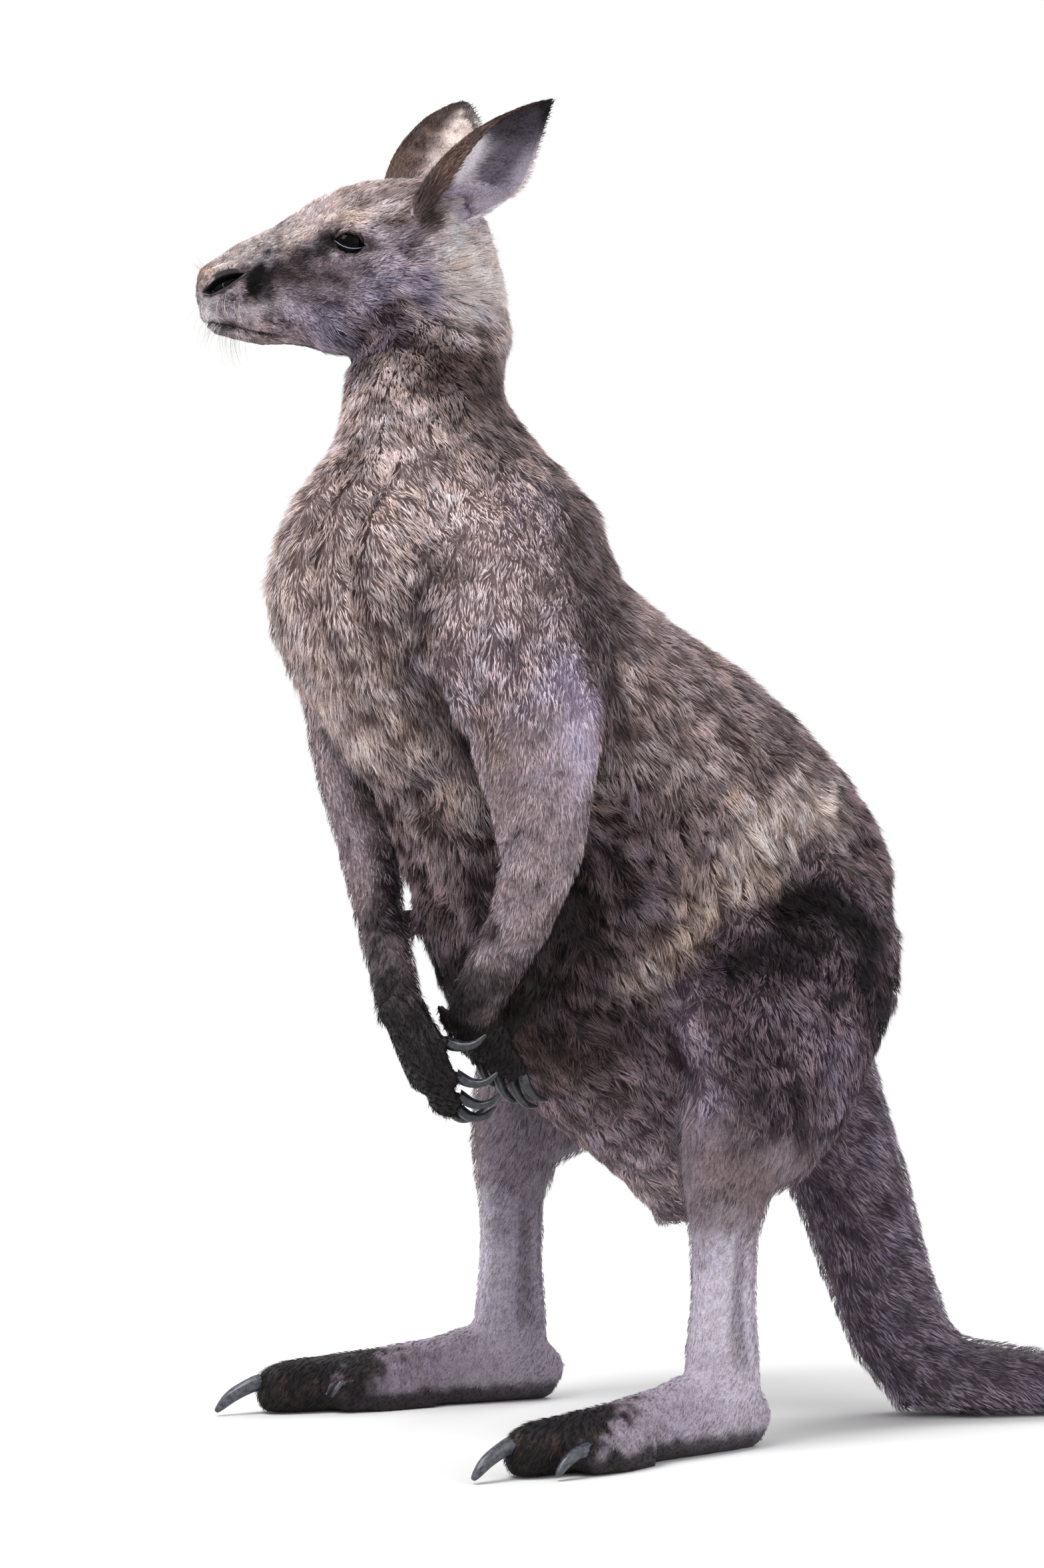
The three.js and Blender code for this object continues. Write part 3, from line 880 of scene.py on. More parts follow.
class Skin:
    """The one skin under the coat: recast from the solids, evened, inset by the coat's depth and sculpted."""

    castings = (
        Casting(
            ("head", "neck", "chest", "belly", "rump", "thigh_l", "thigh_r",
             "tail_base", "tail_middle", "tail_tip", "upper_arm_l", "upper_arm_r"),
            6.2, 0.5, ("forearm_l", "forearm_r", "shank_l", "shank_r"),
        ),
        Casting(("forearm_l", "paw_l"), 3.5, 0.8),
        Casting(("forearm_r", "paw_r"), 3.5, 0.8),
        Casting(("shank_l", "foot_l"), 4.6, 0.8),
        Casting(("shank_r", "foot_r"), 4.6, 0.8),
    )
    # how strongly each part's facets are evened out, 1 where a part isn't named
    evened = {"head": 0.35, "paw": 0.16, "foot": 0.2, "ear": 0.0, "forearm": 0.8, "shank": 0.8, "neck": 0.9}
    rounds = (46, 5, 2)  # of evening the whole, then the head, then round its features
    nape = 9.0  # mm, how much deeper the skin lies behind the ears
    floor = 0.0004  # m, the lowest that the skin comes
    finger = (12.0, 8.0)  # mm, a finger's radius at the palm and at the claw
    lid = (0.4, 1.2)  # mm, how far the lids stand off the ball at their edge, and how much more beyond it
    behind = 5.0  # mm, how far the skin goes behind the ball's face inside the opening

    def __init__(self, body: BodyMap, head: HeadFrame) -> None:
        """Builds the skin's surface.

        Args:
            body: the plan of the body.
            head: the head's frame.
        """
        self.body, self.head = body, head
        surface = self.union([self.cast(c) for c in self.castings] + [ear.surface(head) for ear in EARS])
        log.info("skin as cast: %d triangles", len(surface.triangles))
        shares = body.shares(surface.points)
        level = shares @ np.array([self.evenness(n) for n in body.nodes])
        surface.points = relax(surface, surface.points, level, self.rounds[0])
        surface = self.refined(surface, self.headness(surface.points) > 0.5)
        surface.points = relax(surface, surface.points, self.headness(surface.points), self.rounds[1])
        surface = self.refined(surface, self.near_features(surface.points, 12, 7))
        features = self.near_features(surface.points, 10, 6)
        surface.points = relax(surface, surface.points, features, self.rounds[2])
        surface = self.refined(surface, self.near_features(surface.points, 3, 1.5))
        log.info("skin refined: %d triangles", len(surface.triangles))
        self.surface = surface
        self.shares = body.shares(surface.points)
        self.inset()
        self.sculpt()
        self.normals = surface.normals()
        self.flow = self.lie()

    def evenness(self, node: str) -> float:
        """Says how strongly a node's facets are evened out."""
        return self.evened.get(node.removesuffix("_l").removesuffix("_r"), 1.0)

    @staticmethod
    def cast(casting: Casting) -> Surface:
        """Recasts some nodes as one even mesh of cells.

        Args:
            casting: the nodes, and the size of the cells.

        Returns:
            The new surface.
        """
        moves = [(n, casting.grow) for n in casting.nodes] + [(n, -casting.cover) for n in casting.buried]
        solids = [(merged(n), move) for n, move in moves]
        grown = [Surface(s.points + s.normals() * move * MM, s.triangles) for s, move in solids]
        piece = blender_mesh("casting", together(grown))
        cells = piece.modifiers.new("cells", "REMESH")
        cells.mode, cells.voxel_size = "VOXEL", casting.cell * MM
        return taken(piece)

    @staticmethod
    def union(parts: list[Surface]) -> Surface:
        """Joins closed surfaces into one, without what lies inside.

        Args:
            parts: the surfaces.

        Returns:
            Their union.
        """
        pieces = [blender_mesh(f"part_{k}", part) for k, part in enumerate(parts)]
        for other in pieces[1:]:
            add = pieces[0].modifiers.new(other.name, "BOOLEAN")
            add.operation, add.solver, add.object = "UNION", "MANIFOLD", other
        joined = taken(pieces[0])
        for other in pieces[1:]:
            bpy.data.objects.remove(other)
        return Skin.whole(joined)

    @staticmethod
    def whole(surface: Surface) -> Surface:
        """Drops any small loose crumb beside the largest connected piece of a surface.

        Every point takes the lowest number among its neighbours until nothing changes.

        Args:
            surface: the surface.

        Returns:
            Its largest piece.
        """
        ends = surface.edges()
        label = np.arange(len(surface.points))
        while True:
            lowest = label.copy()
            near = np.minimum(label[ends[:, 0]], label[ends[:, 1]])
            np.minimum.at(lowest, ends[:, 0], near)
            np.minimum.at(lowest, ends[:, 1], near)
            lowest = lowest[lowest]
            if (lowest == label).all():
                break
            label = lowest
        kept = label == np.argmax(np.bincount(label))
        number = np.cumsum(kept) - 1
        return Surface(surface.points[kept], number[surface.triangles[kept[surface.triangles[:, 0]]]])

    def headness(self, points: np.ndarray) -> np.ndarray:
        """Gives 1 on the head and 0 on the body and the upper ears, with a soft border, by place alone.

        Args:
            points: places in metres.

        Returns:
            One number for each place.
        """
        x, s, q = self.head.read(points)
        throat = ease(-66, -46, q + np.minimum(s - 60, 0) * 0.5)
        return np.where(s > 60, 1, throat) * ease(-40, -20, s) * ease(122, 112, q) * (np.abs(x) < 70)

    def near_features(self, points: np.ndarray, eye: float, line: float) -> np.ndarray:
        """Says which points lie round the eyes, the nostrils and the mouth.

        Args:
            points: places in metres.
            eye: how far from the edge of an eye's opening counts, in millimetres.
            line: how far from a nostril or the mouth counts.

        Returns:
            True for each such point.
        """
        x, s, q = self.head.read(points)
        a, b, ratio = FACE.opening(s, q)
        round_eye = (np.hypot(a, b * 1.4) < FACE.half_long + eye) & (ratio > 0.4) & (np.abs(x) > 25)
        place = np.stack([s, q], axis=1)
        nose, _ = off_line(place, np.array(FACE.nostril))
        mouth, _ = off_line(place, np.array(FACE.mouth))
        near = (nose < 8 + line) | (mouth < line)
        return (round_eye | near) & (s < 300) & (np.abs(x) < 62) & (np.abs(q) < 120)

    @staticmethod
    def refined(surface: Surface, chosen: np.ndarray) -> Surface:
        """Halves the edges of part of a surface.

        A triangle with one, two or three halved edges becomes two, three or four triangles.

        Args:
            surface: the mesh.
            chosen: True for each point whose edges are halved.

        Returns:
            The finer mesh.
        """
        triangles = surface.triangles
        sides = np.stack([triangles, np.roll(triangles, -1, axis=1)], axis=2)
        halved = chosen[sides].all(axis=2)
        ends, place = np.unique(np.sort(sides[halved], axis=1), axis=0, return_inverse=True)
        middle = np.full(halved.shape, -1)
        middle[halved] = place.ravel() + len(surface.points)
        count = halved.sum(axis=1)
        first = np.where(count == 1, np.argmax(halved, axis=1), (np.argmin(halved, axis=1) + 1) % 3)
        order = (first[:, None] + np.arange(3)) % 3
        a, b, c = np.take_along_axis(triangles, order, axis=1).T
        m, n, o = np.take_along_axis(middle, order, axis=1).T
        made = [triangles[count == 0]]
        for number, corners in (
            (1, ((a, m, c), (m, b, c))),
            (2, ((m, b, n), (a, m, n), (a, n, c))),
            (3, ((a, m, o), (m, b, n), (o, n, c), (m, n, o))),
        ):
            made += [np.stack(corner, axis=1)[count == number] for corner in corners]
        points = np.concatenate([surface.points, surface.points[ends].mean(axis=1)])
        return Surface(points, np.concatenate(made))

    def inset(self) -> None:
        """Draws the skin in by the depth of the coat, along its smoothed normals."""
        surface, body = self.surface, self.body
        depth = body.blend(self.shares, "depth")
        ears = body.total(self.shares, "ear")
        _, s, q = self.head.read(surface.points)
        head = self.shares[:, body.column("head")]
        depth = depth * (1 - 0.55 * ease(120, 235, s) * head) * (1 - ease(0.3, 0.8, ears))
        sole = ease(0.012, 0.004, surface.points[:, 2]) * body.total(self.shares, "foot")
        depth = depth * (1 - 0.85 * sole)
        depth = depth + self.nape * ease(10, -20, s) * ease(-45, -10, q) * ease(110, 80, q) * head
        depth = relax(surface, depth[:, None], np.ones(len(depth)), 14, swell=False)[:, 0]
        normals = relax(surface, surface.normals(), 1 - ears, 3, swell=False)
        surface.points = surface.points - unit(normals) * (depth * MM)[:, None]
        surface.points[:, 2] = np.maximum(surface.points[:, 2], self.floor)

    def sculpt(self) -> None:
        """Models the brow, cheeks, nostrils and mouth, then the lids, folds, toes and fingers."""
        surface = self.surface
        head = self.shares[:, self.body.column("head")]
        normals = unit(relax(surface, surface.normals(), head, 4, swell=False))
        x, s, q = self.head.read(surface.points)
        side = np.abs(x)
        push = np.zeros(len(x))
        a, b, ratio = FACE.opening(s, q)
        on_side = ease(22, 32, side) * ease(0.4, 0.8, head)
        push += 4.2 * np.exp(-((a + 2) ** 2) / 300 - (b - 16) ** 2 / 50) * on_side  # brow
        push -= 2.2 * np.exp(-((a - 24) ** 2) / 120 - (b - 1) ** 2 / 70) * on_side  # tear hollow
        push += 1.6 * np.exp(-(a**2) / 300 - (b + 15) ** 2 / 40) * on_side  # pouch under the eye
        snout = ease(180, 215, s) * head * ease(5, 12, side)
        push -= 9.5 * ease(0.4, -4.0, FACE.nostril_rim(s, q)) * snout
        above = q - 50
        push += 2.4 * np.exp(-((s - 229) ** 2) / 260 - (above - 10) ** 2 / 22) * snout  # wing of the nostril
        push -= 1.6 * np.exp(-((s - 196) ** 2) / 120 - (q - 42) ** 2 / 160) * on_side  # behind the nostril
        lip, along = off_line(np.stack([s, q], axis=1), np.array(FACE.mouth))
        jaw = head * ease(170, 188, s)
        push -= 2.4 * np.exp(-((lip / 1.5) ** 2)) * jaw * ease(0, 0.12, 1 - along)
        push += 1.5 * np.exp(-(((lip - 6) / 4) ** 2)) * jaw * ease(-8, 2, q - 12 + (256 - s) * 0.43)
        push -= 1.4 * np.exp(-((x / 1.6) ** 2)) * ease(250, 262, s) * ease(12, 18, q) * ease(50, 42, q) * head
        push += 2.0 * np.exp(-((s - 70) ** 2) / 900 - (q + 5) ** 2 / 700) * on_side  # cheek
        surface.points = surface.points + normals * (push * MM)[:, None]
        self.lids(a, b, ratio, on_side)
        self.folds()
        self.toes()
        self.fingers()

    def lids(self, a: np.ndarray, b: np.ndarray, ratio: np.ndarray, on_side: np.ndarray) -> None:
        """Opens the eye and lays the lids over the ball.

        Inside the opening the skin goes behind the ball. From its edge outwards it lies a lid's thickness
        over the ball, and eases back into the face.

        Args:
            a: each point's distance along the opening, in millimetres.
            b: and across it.
            ratio: 1 on the opening's edge.
            on_side: 1 on the sides of the head.
        """
        surface, head = self.surface, self.head
        x, s, q = head.read(surface.points)
        side = np.abs(x)
        middle = np.hypot(s - head.eye[1], q - head.eye[2])
        ball = FACE.ball_x + np.sqrt(np.maximum(FACE.ball**2 - middle**2, 9))
        lid = ball + self.lid[0] + self.lid[1] * ease(0.98, 1.3, ratio)
        outer = (side + lid + np.sqrt((side - lid) ** 2 + 3)) / 2
        inner = ball - self.behind
        wanted = outer + (inner - outer) * ease(1.03, 0.93, ratio)
        near = on_side * ease(40, 30, np.hypot(a, b))
        surface.points = surface.points + ((wanted - side) * np.sign(x) * near * MM)[:, None] * head.x

    def folds(self) -> None:
        """Presses the soft folds of the front of the chest and neck, and the tendon behind each shank."""
        surface, body = self.surface, self.body
        height = surface.points[:, 2]
        normals = surface.normals()
        push = -FOLDS.press(surface.points, normals) * body.total(self.shares, "chest", "neck", "belly")
        shank = body.total(self.shares, "shank")
        beside = ease(0.75, 0.45, np.abs(normals[:, 1])) * ease(-0.3, 0.25, normals[:, 1])
        push -= 6.5 * beside * shank * ease(0.26, 0.2, height) * ease(0.06, 0.1, height)
        push += 1.5 * ease(0.3, 0.8, normals[:, 1]) * shank
        push -= 7 * np.minimum(4 * body.total(self.shares, "thigh") * body.total(self.shares, "belly"), 1)
        surface.points = surface.points + normals * (push * MM)[:, None]

    def toes(self) -> None:
        """Rounds the ends of the hind feet."""
        surface = self.surface
        round_off = np.zeros(len(surface.points))
        for name in ("foot_l", "foot_r"):
            mine = self.shares[:, self.body.column(name)]
            round_off += mine * ease(0.40, 0.25, part_of(name, 1, surface.points))
        surface.points = relax(surface, surface.points, 0.8 * round_off, 16, swell=False)

    def fingers(self, close: float = 0.62) -> None:
        """Forms the fingers: the hand closes round an axis that runs from the palm to each claw.

        A place further from the nearest axis than a finger's radius moves in towards it.

        Args:
            close: how far, from 0 to 1.
        """
        surface = self.surface
        for side in "lr":
            palm = self.body.middles["paw_" + side]
            best = np.full(len(surface.points), 1e9)
            axis, along = surface.points.copy(), np.zeros(len(best))
            for finger in range(1, 6):
                claw = merged(f"claw_hand_{side}_{finger}").points
                away = np.linalg.norm(claw - palm, axis=1)
                root = claw[away <= np.quantile(away, 0.15)].mean(axis=0)
                start = palm + 0.2 * (root - palm)
                gap, part = off_line(surface.points, np.stack([start, root]))
                nearer = gap / MM < best
                best = np.where(nearer, gap / MM, best)
                axis = np.where(nearer[:, None], start + part[:, None] * (root - start), axis)
                along = np.where(nearer, part, along)
            girth = self.finger[0] + (self.finger[1] - self.finger[0]) * along
            mine = ease(0.4, 0.8, self.shares[:, self.body.column("paw_" + side)])
            pull = close * mine * ease(0.1, 0.5, along) * np.maximum(1 - girth / np.maximum(best, 1), 0)
            surface.points = surface.points + (axis - surface.points) * pull[:, None]
            surface.points = relax(surface, surface.points, 0.7 * mine, 3)

    def lie(self) -> np.ndarray:
        """Works out the lie of the coat: each node's flow, evened over the skin and laid in its surface.

        Returns:
            One unit vector for each point.
        """
        surface, body, head = self.surface, self.body, self.head
        flow = self.shares @ body.flows
        _, s, q = head.read(surface.points)
        nose = head.place(0, 262, 42)
        back = unit(surface.points - nose)
        back = unit(back + head.q * (-0.35 * ease(30, -30, q) * ease(40, 160, s))[:, None])
        flow = mix(flow, back, self.shares[:, body.column("head")])
        for ear in EARS:
            along, _, across = ear.axes()
            _, c, inside = ear.chart(surface.points, self.normals, head)
            lean = 0.9 * inside + 0.8 * ease(0.7, 0.95, c)
            way = along + across * lean[:, None] * ear.hand
            flow = mix(flow, unit(way), self.shares[:, body.column("ear_" + ear.side)])
        flow = relax(surface, flow, np.ones(len(flow)), 14, swell=False)
        flow = flow - self.normals * (flow * self.normals).sum(axis=1, keepdims=True)
        return unit(flow)

    def build(self, markings: "Markings", finish: "Hide") -> None:
        """Makes the Blender piece.

        Args:
            markings: the coat's colours, which the skin carries too.
            finish: its material.
        """
        piece = blender_mesh("skin", self.surface, finish.material())
        sight = markings.sight(self.surface.points, self.normals, self.shares)
        pale, dark = markings.colours(sight)
        short = ease(7, 3, self.body.blend(self.shares, "depth"))
        colour_points(piece, "marking", mix(dark, pale, 0.10 + 0.55 * short))
        fit(piece, "body_coat", *self.body.nodes)


# ---- markings ----
@dataclass
class Sight:
    """What the markings depend on at each of some places on the skin."""

    points: np.ndarray
    normals: np.ndarray
    shares: np.ndarray  # of each node in each place
    head: tuple[np.ndarray, np.ndarray, np.ndarray]  # x, s and q


@dataclass(frozen=True)
class Stroke:
    """A soft stroke of colour along a line on the body's left side, which its right side has too."""

    line: tuple[tuple[float, float, float], ...]  # in the frame, in millimetres
    wide: float  # half its width, in millimetres
    pale: str
    dark: str
    share: float  # its strength, 0 to 1


STROKES = (
    Stroke(((130, -360, 480), (100, -370, 440), (100, -320, 400)), 72, "4f4042", "0f0909", 0.8),  # belly, its dark partly painted shade under the flank
    Stroke(((92, -491, 987), (124, -462, 946), (190, -450, 860)), 42, "fbe6e4", "705a59", 0.65),  # shoulder, its pale partly painted highlight
    Stroke(((108, -325, 935), (113, -308, 905), (120, -295, 850)), 33, "7c676b", "1c1215", 0.8),  # mane
    Stroke(((80, -431, 1074), (90, -422, 1034), (100, -400, 990)), 26, "5f4d50", "120b0c", 0.7),  # neck
    Stroke(((30, -480, 1095), (78, -445, 1066), (72, -395, 1066)), 34, "6d5857", "130b0c", 0.9),  # throat
    Stroke(((242, -394, 775), (242, -394, 700)), 29, "f6e8fa", "95849b", 0.92),  # elbow, its pale lilac partly a painted tint of the light
    Stroke(((218, -486, 720), (225, -472, 670)), 16, "a98d85", "43312d", 0.5),  # inside the elbow
    Stroke(((125, -445, 720), (145, -360, 600), (145, -338, 520)), 30, "372b2e", "0a0707", 0.88),  # flank, its dark partly painted shade behind the arm
    Stroke(((65, -361, 409), (70, -318, 367)), 20, "a08780", "3b2b28", 0.5),  # belly's end
    Stroke(((140, -241, 783), (150, -165, 715), (128, -88, 700)), 56, "8b767e", "1e1418", 0.5),  # back
    Stroke(((165, -290, 700), (165, -230, 640)), 40, "7c6870", "1a1114", 0.45),  # side
    Stroke(((120, -90, 720), (120, -20, 640)), 34, "7c6871", "1a1115", 0.6),  # over the rump
    Stroke(((228, -230, 330), (235, -170, 250)), 26, "7c6a69", "211817", 0.6),  # before the knee
    Stroke(((172, -152, 600), (160, -100, 634), (140, -45, 626)), 29, "fff0ec", "a8938f", 0.97),  # rump
    Stroke(((170, -130, 575), (170, -192, 553), (152, -262, 470)), 21, "f2dcd2", "6b5652", 0.93),  # locks
    Stroke(((190, -125, 535), (184, -75, 545), (195, -30, 510)), 27, "21181c", "040203", 1.0),  # hip, its dark partly painted shade
    Stroke(((200, -225, 480), (213, -164, 485), (211, -95, 500)), 23, "352a30", "070405", 0.92),  # hip, its dark partly painted shade
    Stroke(((205, -45, 470), (182, -8, 415)), 26, "483a42", "0b0709", 0.85),  # behind the hip
    Stroke(((172, -240, 455), (208, -240, 390), (215, -230, 300)), 19, "ddcbdc", "6c5a69", 0.85),  # thigh
    Stroke(((231, -96, 395), (235, -80, 355)), 32, "c2afc4", "40323f", 0.55),  # thigh
    Stroke(((226, -190, 400), (232, -185, 320)), 26, "64555a", "171012", 0.7),  # front of the thigh
    Stroke(((237, -151, 360), (237, -130, 290)), 12, "3f3237", "0d090a", 0.9),  # calf
    Stroke(((230, -215, 275), (232, -190, 262)), 20, "8d7a70", "33271f", 0.6),  # knee
    Stroke(((188, -232, 500), (152, -268, 440), (140, -280, 400)), 11, "362a2c", "080505", 0.95),  # painted shade in the fold between rump and thigh
    Stroke(((37, -215, 240), (60, -150, 260)), 52, "d9c8ce", "7d6b72", 0.8),  # groin
)


@dataclass
class Paint:
    """The coat's two colours at some places, linear, which the markings lay over one another."""

    pale: np.ndarray  # of the hairs' tips
    dark: np.ndarray  # of their roots

    def lay(self, pale: str, dark: str, share: np.ndarray, at_root: np.ndarray | None = None) -> None:
        """Blends a pair of colours over what is there.

        Args:
            pale: the tips' new colour, in sRGB.
            dark: the roots' new colour.
            share: how far it covers, 0 to 1.
            at_root: how far it covers the roots, where that differs.
        """
        self.pale = mix(self.pale, linear(pale), share)
        self.dark = mix(self.dark, linear(dark), share if at_root is None else at_root)

    def tip(self, pale: str, share: np.ndarray) -> None:
        """Blends a colour over the tips alone."""
        self.pale = mix(self.pale, linear(pale), share)


class Markings:
    """The animal's colours, one function of place for the skin and the coat alike."""

    def __init__(self, body: BodyMap, head: HeadFrame) -> None:
        """Lays out the markings.

        Args:
            body: the plan of the body.
            head: the head's frame.
        """
        self.body, self.head = body, head
        self.blotch = Ripple(0.055, 11)
        self.fleck = Ripple(0.018, 12)
        self.middle = (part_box("chest")[0][0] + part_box("chest")[1][0]) / 2

    def sight(self, points: np.ndarray, normals: np.ndarray, shares: np.ndarray) -> Sight:
        """Gathers what the markings need at some places."""
        return Sight(points, normals, shares, self.head.read(points))

    def stroke(self, sight: Sight, stroke: Stroke) -> np.ndarray:
        """Gives the strength of a stroke, the same on both sides of the body.

        Args:
            sight: the places.
            stroke: the stroke.

        Returns:
            1 along the stroke's line, falling as a bell curve of the distance from it.
        """
        points = sight.points - [self.middle, 0, 0]
        points = np.abs(points) * [1, 0, 0] + points * [0, 1, 1]
        line = np.array(stroke.line) * MM - [self.middle, 0, 0]
        away, _ = off_line(points, line)
        ragged = 1 + 0.30 * self.blotch(sight.points) + 0.2 * self.fleck(sight.points)
        return np.minimum(1.25 * np.exp(-((away / stroke.wide / MM) ** 2) * np.maximum(ragged, 0.25)), 1)

    def colours(self, sight: Sight) -> tuple[np.ndarray, np.ndarray]:
        """Works out the coat's colours.

        Args:
            sight: the places.

        Returns:
            The colour of the hairs' tips and that of their roots, linear.
        """
        paint = Paint(self.body.tint(sight.shares, "pale"), self.body.tint(sight.shares, "dark"))
        for marking in (self.trunk, self.limbs, self.feet, self.face, self.ears):
            marking(sight, paint)
        return paint.pale, paint.dark

    def trunk(self, sight: Sight, paint: Paint) -> None:
        """Paints the pale front, the brown back, the cream rump, and the dark hip and flank, partly painted
        shade.

        Args:
            sight: the places.
            paint: their colours, which it changes.
        """
        body = self.body
        facing = sight.normals[:, 1]
        trunk = body.total(sight.shares, "neck", "chest", "belly", "rump")
        back = ease(0.0, 0.7, facing) * trunk * ease(1.10, 1.0, sight.points[:, 2])
        paint.lay("9a8389", "241a1d", 0.6 * back, 0.7 * back)
        front = ease(-0.35, -0.85, facing) * body.total(sight.shares, "chest", "neck")
        paint.lay("ecd9d4", "6c5458", 0.6 * front, 0.55 * front)
        # painted shade: darker along the chest's folds, the more the deeper they press
        crease_shade = np.minimum(FOLDS.press(sight.points, sight.normals) / 8, 1) * front
        paint.lay("7d6569", "2e1f21", 0.6 * crease_shade, 0.8 * crease_shade)
        low = body.total(sight.shares, "rump") * ease(0.1, -0.5, sight.normals[:, 2])
        paint.lay("c8b2ba", "5c494c", 0.6 * low, 0.5 * low)
        # painted shade on the trunk where the arms meet it
        arm = body.total(sight.shares, "upper_arm", "forearm")
        arm_gap_shade = np.minimum(4 * arm * body.total(sight.shares, "chest", "belly"), 1)
        paint.lay("55434b", "150f12", 0.75 * arm_gap_shade * ease(0.93, 0.86, sight.points[:, 2]))
        for stroke in STROKES:
            share = stroke.share * self.stroke(sight, stroke)
            paint.lay(stroke.pale, stroke.dark, share)

    def limbs(self, sight: Sight, paint: Paint) -> None:
        """Paints the knees, where the thigh's brown fades into the pale shank, and the dark hands.

        Args:
            sight: the places.
            paint: their colours, which it changes.
        """
        body = self.body
        height = sight.points[:, 2]
        ragged = height + 0.016 * self.blotch(sight.points) + 0.008 * self.fleck(sight.points)
        knee = ease(0.30, 0.22, ragged) * body.total(sight.shares, "thigh")
        paint.lay("b3a5ac", "54474d", 0.7 * knee)
        shank = body.total(sight.shares, "shank")
        upper = ease(0.17, 0.27, ragged) * shank
        paint.lay("9d898d", "36292e", 0.85 * upper)
        # painted shade: the shank's inner side darker
        inner = ease(0.0, 0.6, np.sign(self.middle - sight.points[:, 0]) * sight.normals[:, 0]) * shank
        paint.lay("968d9c", "5b535f", 0.6 * inner)
        # painted shade: a darker line in the groove behind the shank
        beside = ease(0.7, 0.45, np.abs(sight.normals[:, 1])) * ease(-0.1, 0.35, sight.normals[:, 1])
        groove = beside * ease(0.24, 0.18, height) * ease(0.06, 0.1, height) * shank
        paint.lay("867d88", "554c55", 0.6 * groove)
        arm = body.total(sight.shares, "forearm", "paw")
        low, high = [c[2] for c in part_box("forearm_l")]
        down = ease(low + 0.46 * (high - low), low + 0.04 * (high - low), ragged) * arm
        paint.lay("1a1416", "0b0808", 0.95 * down)

    def feet(self, sight: Sight, paint: Paint) -> None:
        """Paints the blackish toes and the dark soles, and darkens the tail's upper side.

        Args:
            sight: the places.
            paint: their colours, which it changes.
        """
        body = self.body
        foot = body.total(sight.shares, "foot")
        # painted shade: the foot's inner side darker
        inner_foot_shade = ease(0.0, 0.6, np.sign(self.middle - sight.points[:, 0]) * sight.normals[:, 0]) * foot
        paint.lay("7d717e", "3f353d", 0.45 * inner_foot_shade)
        for name in ("foot_l", "foot_r"):
            mine = sight.shares[:, body.column(name)]
            along = part_of(name, 1, sight.points)
            along = along + 0.05 * self.fleck(sight.points) + 0.04 * self.blotch(sight.points)
            along = along - 0.10 * ease(0.02, 0.06, sight.points[:, 2])
            smoke = ease(0.62, 0.20, along) * mine
            paint.lay("6d6069", "261e22", 0.75 * smoke)
            toes = ease(0.36, 0.20, along) * mine
            paint.lay("130e10", "070505", 0.95 * toes)
            sheen = ease(0.3, 1.2, self.fleck(sight.points + [0, 0, 0.3])) * toes
            paint.tip("6f5850", 0.5 * sheen * ease(0.05, 0.03, sight.points[:, 2]))
        pad = ease(0.026, 0.015, sight.points[:, 2] + 0.0015 * self.fleck(sight.points)) * foot
        paint.lay("1a1416", "0f0b0c", 0.92 * pad)
        streak = ease(0.2, 1.2, self.fleck(sight.points * [1, 1, 0.25])) * body.total(sight.shares, "tail")
        paint.tip("c8bccb", 0.5 * streak)
        tail = body.total(sight.shares, "tail") * ease(0.0, 0.8, sight.normals[:, 2])
        paint.tip("6a5d66", 0.4 * tail)

    def face(self, sight: Sight, paint: Paint) -> None:
        """Paints the beige bridge of the nose, the lips, cheek, brow, nostrils and the eyes' rims.

        Args:
            sight: the places.
            paint: their colours, which it changes.
        """
        x, s, q = sight.head
        side = np.abs(x)
        head = sight.shares[:, self.body.column("head")]

        def spot(at: tuple[float, float], reach: tuple[float, float]) -> np.ndarray:
            """Gives a soft spot at a place along s and q, with its half sizes.

            Args:
                at: its middle, mm.
                reach: its half sizes, mm.

            Returns:
                One number for each place, 1 in the middle.
            """
            ragged = 1 + 0.25 * self.fleck(sight.points)
            away = ((s - at[0]) / reach[0]) ** 2 + ((q - at[1]) / reach[1]) ** 2
            return np.exp(-away * np.maximum(ragged, 0.2)) * head

        lay, beside = paint.lay, ease(8, 16, side)
        bridge = ease(50, 68, q + 0.16 * (s - 200)) * ease(125, 165, s) * head
        lay("ffeeec", "a3908d", 0.9 * ease(56, 82, q) * ease(180, 150, s) * head)
        cheek = ease(30, -10, q) * ease(196, 150, s) * head
        lay("a79dba", "261d2a", 0.75 * cheek)
        lay("cfc5da", "3b3040", 0.7 * spot((72, 10), (46, 24)))
        lay("d9cfd6", "7b6e76", 0.6 * spot((150, 20), (26, 12)))
        lay("e9dfdd", "94837f", 0.9 * bridge)
        lay("cfae98", "8a6a58", 0.75 * spot((252, 62), (10, 9)))
        lay("f8e4d8", "a58a7a", 0.95 * spot((97, 78), (16, 8)) * ease(20, 30, side))
        lay("3f3134", "150f11", 0.75 * spot((86, 89), (10, 5)))
        lay("8a6f66", "3d2c29", 0.65 * spot((60, 92), (24, 9)))
        lay("75646c", "241b1f", 0.85 * spot((158, 30), (44, 24)) * beside)
        lay("5b4c53", "1b1317", 0.6 * spot((120, 26), (30, 14)) * beside)
        lay("0d090a", "040303", np.minimum(2.0 * spot((202, 36), (15, 19)), 1) * beside)
        lay("1c1517", "080506", 0.9 * spot((180, 43), (20, 12)) * beside)
        lay("3a2e32", "110c0d", 0.85 * spot((155, 50), (26, 10)) * beside)
        lay("2c2326", "0d090a", 0.85 * spot((131, 57), (17, 9)) * beside)
        lip = spot((263, 24), (13, 15)) + spot((258, 4), (9, 8))
        lay("f3eef0", "cdc4c8", np.minimum(lip, 1) * 0.92)
        lay("84747c", "30262a", 0.6 * spot((240, 26), (12, 8)))
        lay("e1d8df", "9d919b", 0.8 * spot((210, 14), (20, 7)))
